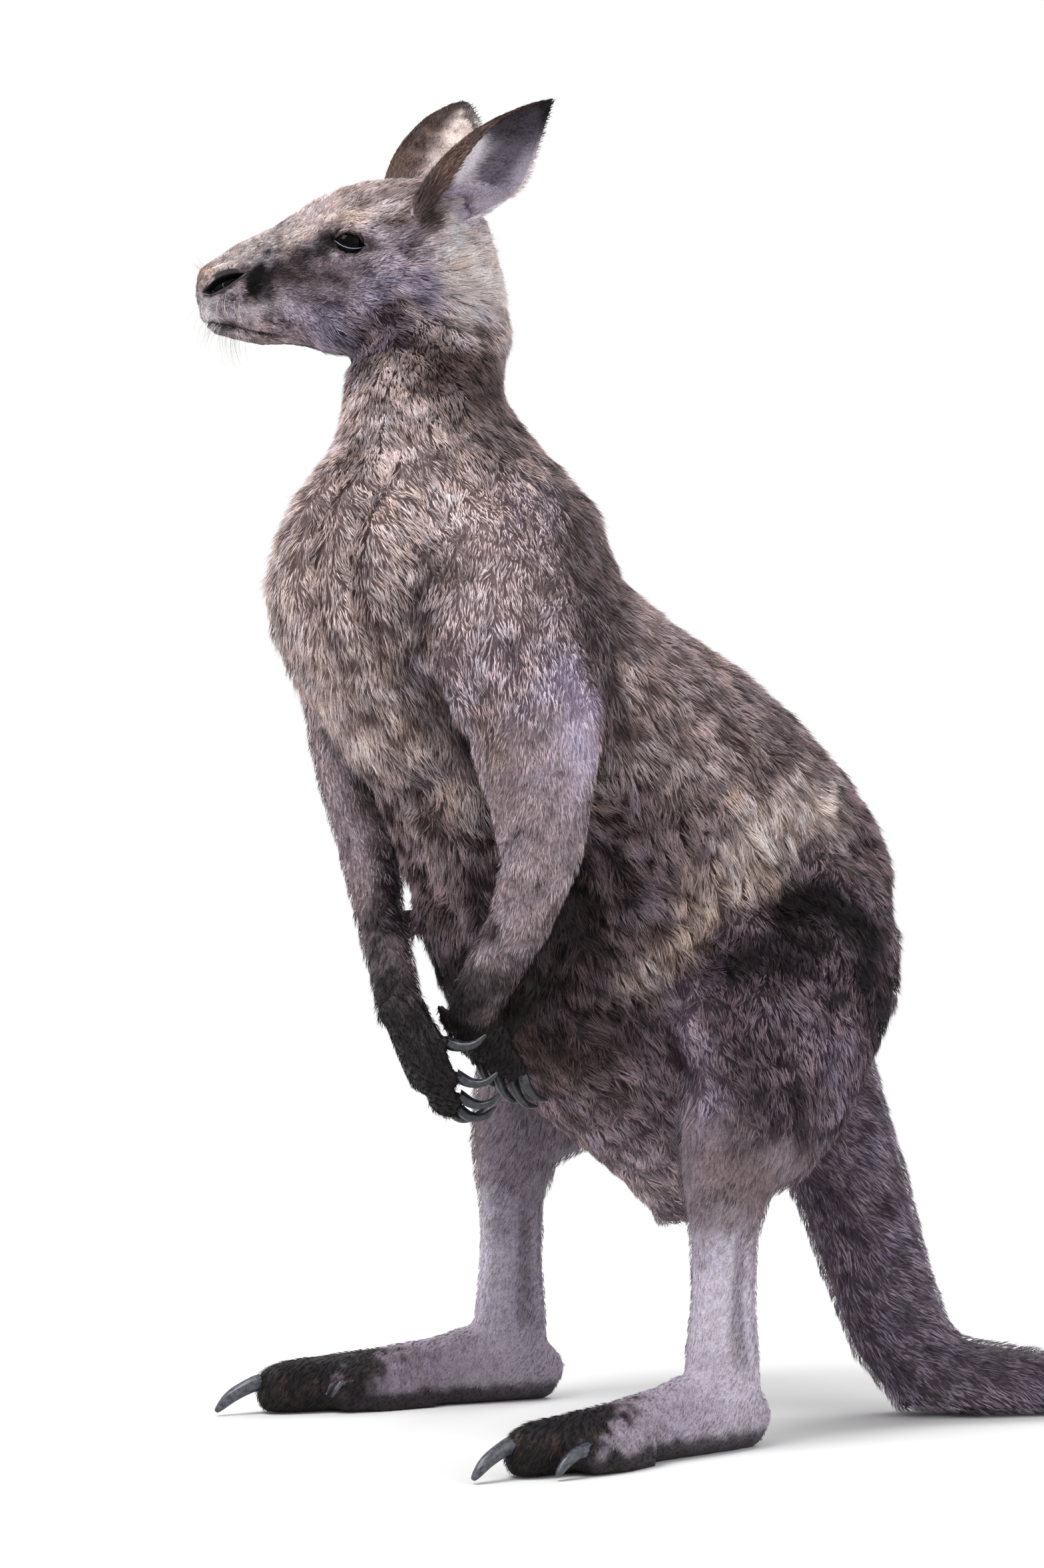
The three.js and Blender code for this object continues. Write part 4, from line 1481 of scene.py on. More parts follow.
        lay("d8cdd4", "8b7f89", 0.6 * spot((184, 18), (8, 12)))
        lay("241b1e", "0c0809", 0.88 * spot((240, 5), (16, 8)))
        away, _ = off_line(np.stack([s, q], axis=1), np.array(FACE.mouth))
        under = ease(0, -12, q - 6 + (256 - s) * 0.43) * ease(140, 190, s) * head
        lay("211a1d", "0a0708", 0.9 * under)
        lay("d8c9c0", "937c6c", 0.7 * ease(-17, -29, q + (s - 200) * -0.42) * ease(100, 160, s) * head)
        lay("0f0b0c", "060404", 0.85 * ease(2.2, 0.6, away) * ease(180, 205, s) * head)
        on_nose = ease(5, 10, side) * head * ease(196, 206, s)
        rim = FACE.nostril_rim(s, q)
        wing = ease(1.25, 0.85, np.hypot((s - 229) / 14, (q - 54) / 4.5))
        band = np.maximum(ease(4.0, 1.6, rim) * ease(50, 46, q), wing)
        lay("1c171b", "0d0b0f", 0.95 * band * on_nose)
        lay("040303", "020202", ease(0.4, -0.8, rim) * on_nose)
        a, b, ratio = FACE.opening(s, q)
        on_side = ease(22, 30, side) * head
        ring = ease(2.5, 1.5, ratio - 0.3 * ease(8, 22, a))
        lay("42363a", "0d090a", 0.9 * ring * on_side)
        lay("150f11", "060404", 0.95 * np.exp(-(((a - 17) / 11) ** 2) - ((b + 1) / 5.5) ** 2) * on_side)
        lay("4e372b", "150d09", 0.75 * np.exp(-(((b - 8.5) / 2.8) ** 2) - ((a - 3) / 13) ** 2) * on_side)
        lay("120d10", "060404", 0.95 * np.exp(-(((b + 8.5) / 4.2) ** 2) - ((a + 1) / 10) ** 2) * on_side)
        lay("0b0809", "060404", ease(1.14, 1.03, ratio) * on_side)
        neck = sight.shares[:, self.body.column("neck")]
        # the pale nape: partly the coat's own cream and partly painted light along the back of the neck
        nape = ease(46, 12, s) * ease(66, 36, q) * head + neck * ease(0.35, 0.85, sight.normals[:, 1])
        lay("fff6f2", "bcaaa5", 0.95 * np.minimum(nape, 1) * ease(-110, -40, q))
        behind = np.exp(-((s - 2) ** 2) / 500 - (q - 52) ** 2 / 700) * ease(18, 34, side)
        lay("f0e6e0", "b09c94", 0.85 * behind * np.maximum(head, neck))

    def ears(self, sight: Sight, paint: Paint) -> None:
        """Paints the ears: cream behind, brown at the front rim, lilac-grey inside and black at the tip.

        Args:
            sight: the places.
            paint: their colours, which it changes.
        """
        for ear in EARS:
            mine = sight.shares[:, self.body.column("ear_" + ear.side)]
            up, c, inside = ear.chart(sight.points, sight.normals, self.head)

            def lay(pale: str, dark: str, share: np.ndarray, ear_share: np.ndarray = mine) -> None:
                """Blends a pair of colours over this ear alone."""
                paint.lay(pale, dark, np.clip(share, 0, 1) * ear_share)

            outer = 1 - inside
            front = ease(0.05, -0.35, c)
            roll = np.maximum(outer * front, inside * ease(-0.68, -0.78, c))
            lay("fff0e8", "b7a29a", 0.92 * outer * (1 - front))
            lay("a58c80", "4a3731", 0.4 * outer * ease(0.2, 1.4, self.blotch(sight.points)))
            rear = outer * ease(0.08, 0.22, c) * ease(0.62, 0.5, up)
            lay("f3eafc", "a79db2", 0.95 * np.maximum(inside, rear))
            lay("231c21", "0c090c", 0.95 * inside * ease(0.56, 0.90, up + 0.22 * ease(0.5, 0.0, c)))
            band = ease(0.80, 0.50, c) * ease(0.05, 0.25, c) * ease(0.25, 0.45, up)
            lay("4c424f", "1e1a21", 0.8 * inside * band)
            lay("6a5045", "1e120f", 0.97 * roll)
            lay("2c1f1c", "0c0706", 0.85 * roll * ease(0.40, 0.62, up + 0.1 * self.fleck(sight.points)))
            lay("f4ecee", "bdb0b3", 0.9 * ease(0.78, 0.92, c) * ease(0.84, 0.6, up))
            lay("fffbfd", "d5c8d0", ear.tuft(up, c) * inside * ease(0.62, 0.50, up) * ease(0.16, 0.24, up))
            lay("3e3132", "120d0e", 0.9 * ease(0.22, 0.10, up) * ease(0.7, 0.1, c))
            lay("4c3936", "150d0c", 0.9 * outer * ease(0.72, 0.92, up + 0.08 * self.fleck(sight.points)))
            lay("171113", "080506", 0.95 * ease(0.86, 0.95, up))


# ---- coat ----
class Side(Enum):
    """Which part of a node a piece of the coat covers."""

    ALL = "all"
    FRONT = "the face"
    REAR = "the back of the head"


@dataclass(frozen=True)
class Patch:
    """One piece of the coat: the nodes it covers and how many locks it has."""

    name: str
    families: tuple[str, ...]
    locks: int
    slot: str
    side: Side = Side.ALL


PATCHES = (
    Patch("coat_face", ("head",), 29500, "face_coat", Side.FRONT),
    Patch("coat_crown", ("head",), 20000, "face_coat", Side.REAR),
    Patch("coat_ears", ("ear",), 18500, "ear_coat"),
    Patch("coat_neck", ("neck",), 19500, "body_coat"),
    Patch("coat_chest", ("chest",), 30500, "body_coat"),
    Patch("coat_belly", ("belly",), 29500, "body_coat"),
    Patch("coat_rump", ("rump",), 17500, "flank_coat"),
    Patch("coat_thighs", ("thigh",), 27000, "flank_coat"),
    Patch("coat_arms", ("upper_arm", "forearm", "paw"), 25500, "arm_coat"),
    Patch("coat_legs", ("shank", "foot"), 16000, "leg_coat"),
    Patch("coat_tail", ("tail",), 14500, "tail_coat"),
)


@dataclass
class Roots:
    """Where the locks of one patch stand, and what the skin is like there."""

    points: np.ndarray
    normals: np.ndarray
    flow: np.ndarray  # the lie of the coat
    shares: np.ndarray  # of each node in each lock
    owner: np.ndarray  # the node with the largest share


class Coat:
    """The fur: locks of three blades, each blade a bent kite that tapers both ways, clumped at their tips."""

    blades = 3
    rows = (0.0, 0.46, 1.0)  # where along a blade its root, its widest place and its tip lie
    wave = (0.020, 0.075)  # the sizes of the fine and the broad turns of the lie, in metres
    unwrap = 0.003  # across the patch that one lock has on the skin's unwrap
    hue = np.array([1.0, 0.1, -1.0])  # the way from a lilac hair to a warm brown one
    apart = 3.2  # how far a lock's blades stand apart, in widths of a blade
    stray = 0.055  # how far a blade's tip strays, as a share of its length
    sunk = 0.0006  # m, how deep a root lies in the skin
    floor = 0.0005  # m, the lowest that a hair comes
    cell = 0.012  # m, the size of the cells that put the triangles in order
    batch = 4000  # locks looked up at once

    def __init__(self, skin: Skin, markings: Markings, finish: "Fur") -> None:
        """Gets ready to grow the coat.

        Args:
            skin: what it grows on.
            markings: its colours.
            finish: its material.
        """
        self.skin, self.markings = skin, markings
        self.body, self.head = skin.body, skin.head
        self.material = finish.material()
        self.fine, self.broad = Ripple(self.wave[0], 21), Ripple(self.wave[1], 22)
        self.lift, self.tone, self.fold = Ripple(0.030, 23), Ripple(0.045, 24), Ripple(0.034, 25)
        self.owner = np.argmax(skin.shares, axis=1)

    def density(self) -> np.ndarray:
        """Says how close the locks stand at each point of the skin, 0 where it is bare.

        Returns:
            One number for each point.
        """
        surface, body = self.skin.surface, self.body
        thick = body.blend(self.skin.shares, "thick")
        x, s, q = self.head.read(surface.points)
        head = self.skin.shares[:, body.column("head")]
        thick *= 1 - FACE.bare(x, s, q) * ease(0.3, 0.6, head)
        thick *= 1 + 1.6 * head * ease(120, 230, s)
        sole = ease(0.010, 0.005, surface.points[:, 2]) * ease(-0.3, -0.7, self.skin.normals[:, 2])
        thick *= 1 - sole * body.total(self.skin.shares, "foot", "tail")
        return thick

    def roots(self, patch: Patch, draw: np.random.Generator) -> Roots:
        """Spreads the locks of a patch evenly over its part of the skin.

        The triangles are laid end to end in order of place, each as long as its area times its density, and
        the locks stand at even steps along them, each moved by less than a step.

        Args:
            patch: the piece of the coat.
            draw: the random numbers.

        Returns:
            The locks' roots.
        """
        skin = self.skin
        surface = skin.surface
        names = self.body.nodes
        mine = np.array([n.startswith(patch.families) for n in names])[self.owner]
        _, s, _ = self.head.read(surface.points)
        if patch.side is Side.FRONT:
            mine &= s > 88
        if patch.side is Side.REAR:
            mine &= s <= 88
        triangles = surface.triangles[mine[surface.triangles[:, 0]]]
        middle = surface.points[triangles].mean(axis=1)
        cell = np.floor(middle / self.cell).astype(int)
        triangles = triangles[np.lexsort((cell[:, 0], cell[:, 1], cell[:, 2]))]
        part = Surface(surface.points, triangles)
        reach = np.cumsum(part.areas() * self.thickness[triangles].mean(axis=1))
        step = (np.arange(patch.locks) + draw.random(patch.locks)) / patch.locks * reach[-1]
        chosen = triangles[np.searchsorted(reach, step).clip(0, len(triangles) - 1)]
        u, v = draw.random((2, patch.locks))
        root = np.sqrt(u)
        share = np.stack([1 - root, root * (1 - v), root * v], axis=1)
        normals = np.einsum("nk,nkj->nj", share, skin.normals[chosen])
        return Roots(
            np.einsum("nk,nkj->nj", share, surface.points[chosen]),
            unit(normals),
            unit(np.einsum("nk,nkj->nj", share, skin.flow[chosen])),
            np.einsum("nk,nkj->nj", share, skin.shares[chosen]),
            self.owner[chosen[:, 0]],
        )

    def traits(self, roots: Roots) -> dict[str, np.ndarray]:
        """Works out each lock's sizes in metres, and its wander and gather, from where it stands.

        Args:
            roots: the locks.

        Returns:
            The pelts' numbers by name, one for each lock.
        """
        body = self.body
        names = ("depth", "length", "width", "clump", "wander", "gather")
        trait = {k: body.blend(roots.shares, k) for k in names}
        x, s, q = self.head.read(roots.points)
        head = roots.shares[:, body.column("head")]
        muzzle = ease(110, 240, s) * head
        trait["length"] *= 1 - 0.42 * muzzle
        trait["width"] *= 1 - 0.12 * muzzle
        trait["depth"] *= 1 - 0.55 * muzzle
        rear = np.maximum(ease(80, 0, 0.6 * s + 0.8 * q), 0.5 * ease(110, 20, s)) * head
        jaw = ease(0, -30, q) * ease(190, 150, s) * head
        trait["length"] *= 1 + 0.7 * rear + 0.5 * jaw
        trait["depth"] *= 1 + 0.9 * rear + 0.9 * jaw
        trait["clump"] *= 1 + 0.8 * rear
        upper = ease(1.02, 1.12, roots.points[:, 2]) * roots.shares[:, body.column("neck")]
        trait["length"] *= 1 - 0.2 * upper
        trait["depth"] *= 1 - 0.15 * upper
        _, _, ratio = FACE.opening(s, q)
        by_eye = ease(2.6, 1.3, ratio) * head * (np.abs(x) > 22)
        trait["length"] *= 1 - 0.5 * by_eye
        knee = ease(0.33, 0.23, roots.points[:, 2]) * body.total(roots.shares, "thigh")
        below = ease(-0.2, -0.7, roots.normals[:, 2]) * body.total(roots.shares, "rump", "belly")
        trait["length"] = trait["length"] * (1 - 0.2 * knee) * (1 - 0.4 * below)
        trait["depth"] = trait["depth"] * (1 - 0.3 * knee) * (1 - 0.4 * below)
        below_knee = ease(0.16, 0.28, roots.points[:, 2]) * body.total(roots.shares, "shank")
        trait["length"] *= 1 + 0.6 * below_knee
        trait["depth"] *= 1 + 1.5 * below_knee
        trait["clump"] *= 1 + 1.2 * below_knee
        foot = body.total(roots.shares, "foot")
        heel = ease(0.03, 0.015, roots.points[:, 2]) * foot
        trait["length"] *= 1 - 0.4 * heel
        for name in ("foot_l", "foot_r"):
            toes = ease(0.36, 0.15, part_of(name, 1, roots.points)) * foot
            trait["length"] = trait["length"] * (1 + 0.8 * toes * roots.shares[:, body.column(name)])
        for ear in EARS:
            up, c, inside = ear.chart(roots.points, roots.normals, self.head)
            mine = roots.shares[:, body.column("ear_" + ear.side)]
            tuft = ear.tuft(up, c) * inside * ease(0.64, 0.5, up) * mine
            fringe = ease(0.84, 0.95, c) * ease(0.9, 0.6, up) * mine
            base = ease(0.40, 0.12, up) * (1 - inside) * mine
            front = ease(0.0, -0.4, c) * (1 - inside) * mine
            trait["length"] *= 1 + 1.7 * tuft + 0.5 * fringe + 1.2 * base + 0.5 * front
        for k in names[:4]:
            trait[k] *= MM
        return trait

    def clumps(self, roots: Roots, size: np.ndarray, draw: np.random.Generator) -> np.ndarray:
        """Gives each lock a leader, the nearest of some locks picked so that one leads each clump.

        Args:
            roots: the locks.
            size: across a clump at each lock, in metres.
            draw: the random numbers.

        Returns:
            The number of each lock's leader.
        """
        count = len(size)
        room = np.median(self.spacing(roots, draw))
        leaders = np.flatnonzero(draw.random(count) < (room / size) ** 2)
        best = np.empty(count, int)
        spots = roots.points[leaders]
        for start in range(0, count, self.batch):
            part = roots.points[start : start + self.batch]
            square = (spots**2).sum(1) - 2 * part @ spots.T
            best[start : start + self.batch] = leaders[np.argmin(square, axis=1)]
        return best

    @staticmethod
    def spacing(roots: Roots, draw: np.random.Generator) -> np.ndarray:
        """Measures how far apart neighbouring locks stand, on a sample of them.

        Args:
            roots: the locks.
            draw: the random numbers.

        Returns:
            A distance in metres for each lock of the sample.
        """
        sample = roots.points[draw.choice(len(roots.points), 300)]
        square = (sample**2).sum(1)[:, None] + (roots.points**2).sum(1) - 2 * sample @ roots.points.T
        near = np.sqrt(np.maximum(np.partition(square, 4, axis=1)[:, 4], 0))
        return near * math.sqrt(math.pi / 4)

    def grow(self, patch: Patch, draw: np.random.Generator) -> tuple[Surface, np.ndarray, np.ndarray]:
        """Grows the locks of one patch.

        A blade's midline is a parabola: it leaves the skin at a steep angle and ends nearly level, at the
        coat's outer face. Its tip is drawn towards its clump's tip.

        Args:
            patch: the piece of the coat.
            draw: the random numbers.

        Returns:
            The blades, a linear colour for each point, and a place on the unwrap for each point.
        """
        roots = self.roots(patch, draw)
        trait = self.traits(roots)
        count, blades = patch.locks, self.blades
        normal, flow = roots.normals, roots.flow
        side = np.cross(normal, flow)
        turn = 0.65 * self.broad(roots.points) + 0.5 * self.fine(roots.points)
        turn = np.radians(trait["wander"]) * (turn + 0.35 * draw.normal(size=count))
        way = flow * np.cos(turn)[:, None] + side * np.sin(turn)[:, None]
        side = np.cross(normal, way)
        length = trait["length"] * np.clip(1 + 0.16 * draw.normal(size=count), 0.55, 1.45)
        raised = 0.92 + 0.16 * self.lift(roots.points) + 0.12 * draw.normal(size=count)
        rise = trait["depth"] * np.clip(raised, 0.35, 1.25)
        sweep = np.clip(2 * rise / length - 0.12, 0.08, 0.92)
        steep = way * np.sqrt(1 - sweep**2)[:, None] + normal * sweep[:, None]
        level = unit(way + normal * 0.12)
        leader = self.clumps(roots, trait["clump"], draw)
        tip = (steep + level) * (length / 2)[:, None]
        drawn = roots.points[leader] - roots.points + tip[leader] * 0.5 + tip * 0.5
        gather = (trait["gather"] * np.clip(1 + 0.3 * draw.normal(size=count), 0, 1.5)).clip(0, 0.9)
        tip = tip + (drawn - tip) * gather[:, None]
        knee = steep * (length / 2)[:, None]

        spread = (draw.random((count, blades, 2)) - 0.5) * (self.apart * trait["width"])[:, None, None]
        offset = spread[..., :1] * side[:, None] + spread[..., 1:] * way[:, None]
        stray = draw.normal(size=(count, blades, 3)) * (self.stray * length)[:, None, None]
        at = np.array(self.rows)
        bow = 2 * at * (1 - at)
        line = (
            (roots.points - normal * self.sunk)[:, None, None]
            + offset[:, :, None] * (1 - 0.75 * at)[None, None, :, None]
            + knee[:, None, None] * bow[None, None, :, None]
            + (tip[:, None] + stray)[:, :, None] * (at**2)[None, None, :, None]
        )
        twist = draw.normal(size=(count, blades)) * 0.55
        flat = side[:, None] * np.cos(twist)[..., None] + normal[:, None] * np.sin(twist)[..., None]
        wide = trait["width"][:, None] * draw.uniform(0.75, 1.25, (count, blades)) / 2
        half = flat * wide[..., None]
        points = np.stack([line[:, :, 0], line[:, :, 1] + half, line[:, :, 1] - half, line[:, :, 2]], axis=2)
        points[..., 2] = np.maximum(points[..., 2], self.floor)
        kite = np.array([[0, 1, 2], [1, 3, 2]])
        triangles = (np.arange(count * blades)[:, None, None] * 4 + kite).reshape(-1, 3)
        colours = self.shade(roots, leader, draw).reshape(-1, 3)
        return Surface(points.reshape(-1, 3), triangles), colours, self.places(roots, patch, blades)

    def shade(self, roots: Roots, leader: np.ndarray, draw: np.random.Generator) -> np.ndarray:
        """Colours the blades from root to tip, with banded hairs and paler and darker clumps.

        Args:
            roots: the locks.
            leader: each lock's clump.
            draw: the random numbers.

        Returns:
            Colours of shape (locks, blades, 4, 3).
        """
        count, blades, body = len(leader), self.blades, self.body
        clump = draw.normal(size=count)[leader]
        depth = body.blend(roots.shares, "depth")
        calm = ease(7, 3, depth) * (1 - 0.8 * roots.shares[:, body.column("head")])
        calm *= 1 - 0.8 * ease(0.16, 0.26, roots.points[:, 2]) * body.total(roots.shares, "shank")
        calm *= 1 - 0.5 * body.total(roots.shares, "forearm")
        seen = 0.6 * body.blend(roots.shares, "length") * MM * ease(3, 8, depth)
        sight = self.markings.sight(roots.points + roots.flow * seen[:, None], roots.normals, roots.shares)
        pale, dark = self.markings.colours(sight)
        warmth = 0.022 * draw.normal(size=count)[leader] + 0.02 * self.tone(roots.points[:, [1, 2, 0]])
        warm = 1 + warmth[:, None] * self.hue
        pale, dark = pale * warm, dark * warm
        soft = body.total(roots.shares, "neck", "chest", "upper_arm")
        ridge = self.fold(roots.points * [1.0, 1.0, 1.9] + roots.points[:, [2, 2, 1]] * [0.0, 0.0, 0.8])
        tone = (0.5 - 0.2 * soft) * clump + 0.35 * self.tone(roots.points)
        tone = tone + (0.4 + 0.35 * body.total(roots.shares, "belly")) * (1 - calm) * ridge
        own = draw.normal(size=(count, blades)) * 0.6
        spread = 0.50 * (1 - 0.5 * calm)
        level = np.clip(0.80 + spread[:, None] * (tone[:, None] + own), 0.0, 1.4)
        tip = mix(dark[:, None], pale[:, None], level)
        bend = mix(dark[:, None], pale[:, None], (0.70 + 0.10 * soft + 0.17 * calm)[:, None] * level)
        base = np.broadcast_to((dark * (0.55 + 0.4 * calm)[:, None])[:, None], tip.shape)
        banded = draw.random((count, blades)) < (0.12 - 0.09 * calm)[:, None]
        tip = np.where(banded[..., None], dark[:, None], tip)
        return np.stack([base, bend, bend, tip], axis=2)

    def places(self, roots: Roots, patch: Patch, blades: int) -> np.ndarray:
        """Lays each lock's small patch at its root's place on an unwrap of the skin.

        Each node of the piece has its own upright strip of the map. Across the strip runs the angle round the
        node's axis, up it the distance along that axis. An ear's inner face has a strip of its own.

        Args:
            roots: the locks.
            patch: the piece of the coat.
            blades: in each lock.

        Returns:
            One (u, v) for each point, from 0 to 1.
        """
        names = [n for n in self.body.nodes if n.startswith(patch.families)]
        u, v, strip = np.zeros(len(roots.owner)), np.zeros(len(roots.owner)), np.zeros(len(roots.owner))
        strips = 0
        for name in names:
            mine = roots.owner == self.body.column(name)
            ear = next((e for e in EARS if name == "ear_" + e.side), None)
            halves = [mine]
            if ear:
                inner = ear.chart(roots.points, roots.normals, self.head)[2] > 0.5
                halves = [mine & ~inner, mine & inner]
            for chosen in halves:
                if not chosen.any():
                    continue
                away = roots.points[chosen] - roots.points[chosen].mean(axis=0)
                axis = ear.axes()[0] if ear else unit(self.body.flows[self.body.column(name)])
                across = unit(np.cross(axis, [0.12, 0.31, 0.94] if abs(axis[2]) < 0.9 else [1, 0.1, 0]))
                over = np.cross(axis, across)
                along = away @ axis
                u[chosen] = np.arctan2(away @ over, away @ across) / (2 * math.pi) + 0.5
                v[chosen] = (along - along.min()) / max(np.ptp(along), 1e-6)
                strip[chosen] = strips
                strips += 1
        room = 1 - self.unwrap
        u = (strip + u * 0.985) / max(strips, 1) * room
        lane = self.unwrap / (blades + 0.5)
        left = u[:, None, None] + np.arange(blades)[None, :, None] * lane
        part = np.array([0.5, 1.0, 0.0, 0.5]) * lane
        rise = np.array([0.0, 0.45, 0.45, 1.0]) * self.unwrap
        up = np.broadcast_to((v * room)[:, None, None] + rise, (len(u), blades, 4))
        return np.stack([left + part, up], axis=-1).reshape(-1, 2)

    def build(self) -> None:
        """Makes every piece of the coat."""
        self.thickness = self.density()
        for number, patch in enumerate(PATCHES):
            draw = np.random.default_rng([SEED, number])
            surface, colours, places = self.grow(patch, draw)
            piece = blender_mesh(patch.name, surface, self.material)
            colour_points(piece, "marking", colours)
            layer = piece.data.uv_layers.new(name="OFBake")
            layer.data.foreach_set("uv", places[surface.triangles.ravel()].astype(np.float32).ravel())
            fit(piece, patch.slot)


# ---- eyes, claws and whiskers ----
@dataclass
class Eyes:
    """The eyes: a ball with a domed cornea, a dark iris and an oval pupil, and the lower lid's wet line, pale
    as a painted highlight.
    """

    head: HeadFrame
    dome: float = 1.3  # how far the cornea stands out, mm
    cornea: float = 0.62  # its half angle, radians
    set_back: float = 0.3  # how much smaller the ball is than the lids' hollow, mm
    pole: float = 0.012  # how near the first and last rings come to the poles, radians
    rings: int = 72
    sides: int = 96
    outlook: tuple[float, float, float] = (0.93, 0.30, 0.16)  # the way the left eye faces, along x, s and q

    def build(self, finish: "EyeGloss") -> None:
        """Makes both eyes.

        Args:
            finish: their material.
        """
        for name, hand in (("eye_l", 1), ("eye_r", -1)):
            centre = self.head.place(hand * FACE.ball_x, self.head.eye[1], self.head.eye[2])
            x, s, q = self.outlook
            front = unit(self.head.x * hand * x + self.head.s * s + self.head.q * q)
            level = unit(self.head.s - front * (self.head.s @ front))
            upright = np.cross(front, level)
            polar = np.linspace(self.pole, math.pi - self.pole, self.rings)[:, None]
            turn = np.linspace(0, 2 * math.pi, self.sides, endpoint=False)[None, :]
            radius = FACE.ball + self.dome * ease(self.cornea, 0, polar) - self.set_back
            parts = (
                (np.cos(polar) * np.ones_like(turn), front),
                (np.sin(polar) * np.cos(turn), level),
                (np.sin(polar) * np.sin(turn), upright),
            )
            ring = sum(k[..., None] * axis for k, axis in parts)
            surface = loft(centre + ring * (radius * MM)[..., None])
            piece = blender_mesh("eyeball_" + name[-1], surface, finish.material())
            colour_points(piece, "marking", self.tint(surface.points - centre, front, level, upright))
            fit(piece, "eye", name)

    def rims(self, finish: "Hair") -> None:
        """Makes the wet line along the edge of each lower lid, as a thin cord whose pale blue-grey is a
        painted highlight.

        Args:
            finish: their material.
        """
        part = np.linspace(-1, 1, 25)
        s, q = FACE.on_opening(part * FACE.half_long * 1.02, -FACE.lower * (1 - part**2) * 1.03)
        middle = np.hypot(s - self.head.eye[1], q - self.head.eye[2])
        x = FACE.ball_x + np.sqrt(np.maximum(FACE.ball**2 - middle**2, 9)) + 0.35
        girth = 0.5 * MM * (1 - 0.6 * part**4)
        cords = [tube(self.head.place(hand * x, s, q), girth, 8) for hand in (1, -1)]
        fit(blender_mesh("lid_rims", together(cords), finish.material()), "face_coat")

    def tint(self, away: np.ndarray, front: np.ndarray, level: np.ndarray, upright: np.ndarray) -> np.ndarray:
        """Colours an eyeball: black pupil, brown iris with rays, dark ring and dark white.

        Args:
            away: each point's place from the eye's middle.
            front: the way the eye faces.
            level: across the pupil.
            upright: up the pupil.

        Returns:
            Linear colours, one for each point.
        """
        away = unit(away)
        sideways, high = away @ level, away @ upright
        polar = np.arccos(np.clip(away @ front, -1, 1))
        pupil = np.hypot(sideways / 0.27, high / 0.20)
        rays = 0.5 + 0.5 * np.sin(np.arctan2(high, sideways) * 43 + 5 * polar)
        iris = mix(linear("070404"), linear("130b07"), 0.6 * rays * ease(0.2, 0.5, polar))
        colour = mix(iris, linear("040303"), ease(0.52, 0.64, polar))
        colour = mix(colour, linear("090606"), ease(0.66, 0.9, polar))
        return mix(colour, linear("030303"), ease(1.08, 0.92, pupil))


@dataclass
class Claws:
    """The claws: each packed claw, lengthened at its root and rounded off by two levels of subdivision."""

    levels: int = 2
    sunk: float = 5.0  # how far its root reaches into the finger or toe, mm

    def rooted(self, node: str) -> Surface:
        """Lengthens a claw at its root, towards the middle of its hand or foot.

        Args:
            node: the claw's solid.

        Returns:
            The claw's surface, with its root sunk in the flesh.
        """
        solid = merged(node)
        limb = node[5:11].replace("hand", "paw")
        middle = np.mean([np.array(c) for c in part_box(limb)], axis=0)
        away = np.linalg.norm(solid.points - middle, axis=1)
        from_tip = np.linalg.norm(solid.points - solid.points[np.argmax(away)], axis=1)
        near = ease(0.72, 0.92, from_tip / from_tip.max())
        way = unit(middle - solid.points[near > 0.5].mean(axis=0))
        return Surface(solid.points + near[:, None] * way * self.sunk * MM, solid.triangles)

    def build(self, hand_finish: "Horn", foot_finish: "Horn") -> None:
        """Makes every claw.

        Args:
            hand_finish: the material of the hands' claws.
            foot_finish: that of the feet's.
        """
        materials = {"claw_hand": hand_finish.material(), "claw_foot": foot_finish.material()}
        for node in sorted(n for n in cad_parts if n.startswith("claw")):
            kind = node[:9]
            piece = blender_mesh("horn_" + node[5:], self.rooted(node), materials[kind])
            rounder = piece.modifiers.new("rounder", "SUBSURF")
            rounder.levels = rounder.render_levels = self.levels
            surface = taken(piece)
            piece = blender_mesh("horn_" + node[5:], surface, materials[kind])
            fit(piece, "hand_claw" if kind == "claw_hand" else "foot_claw", node)


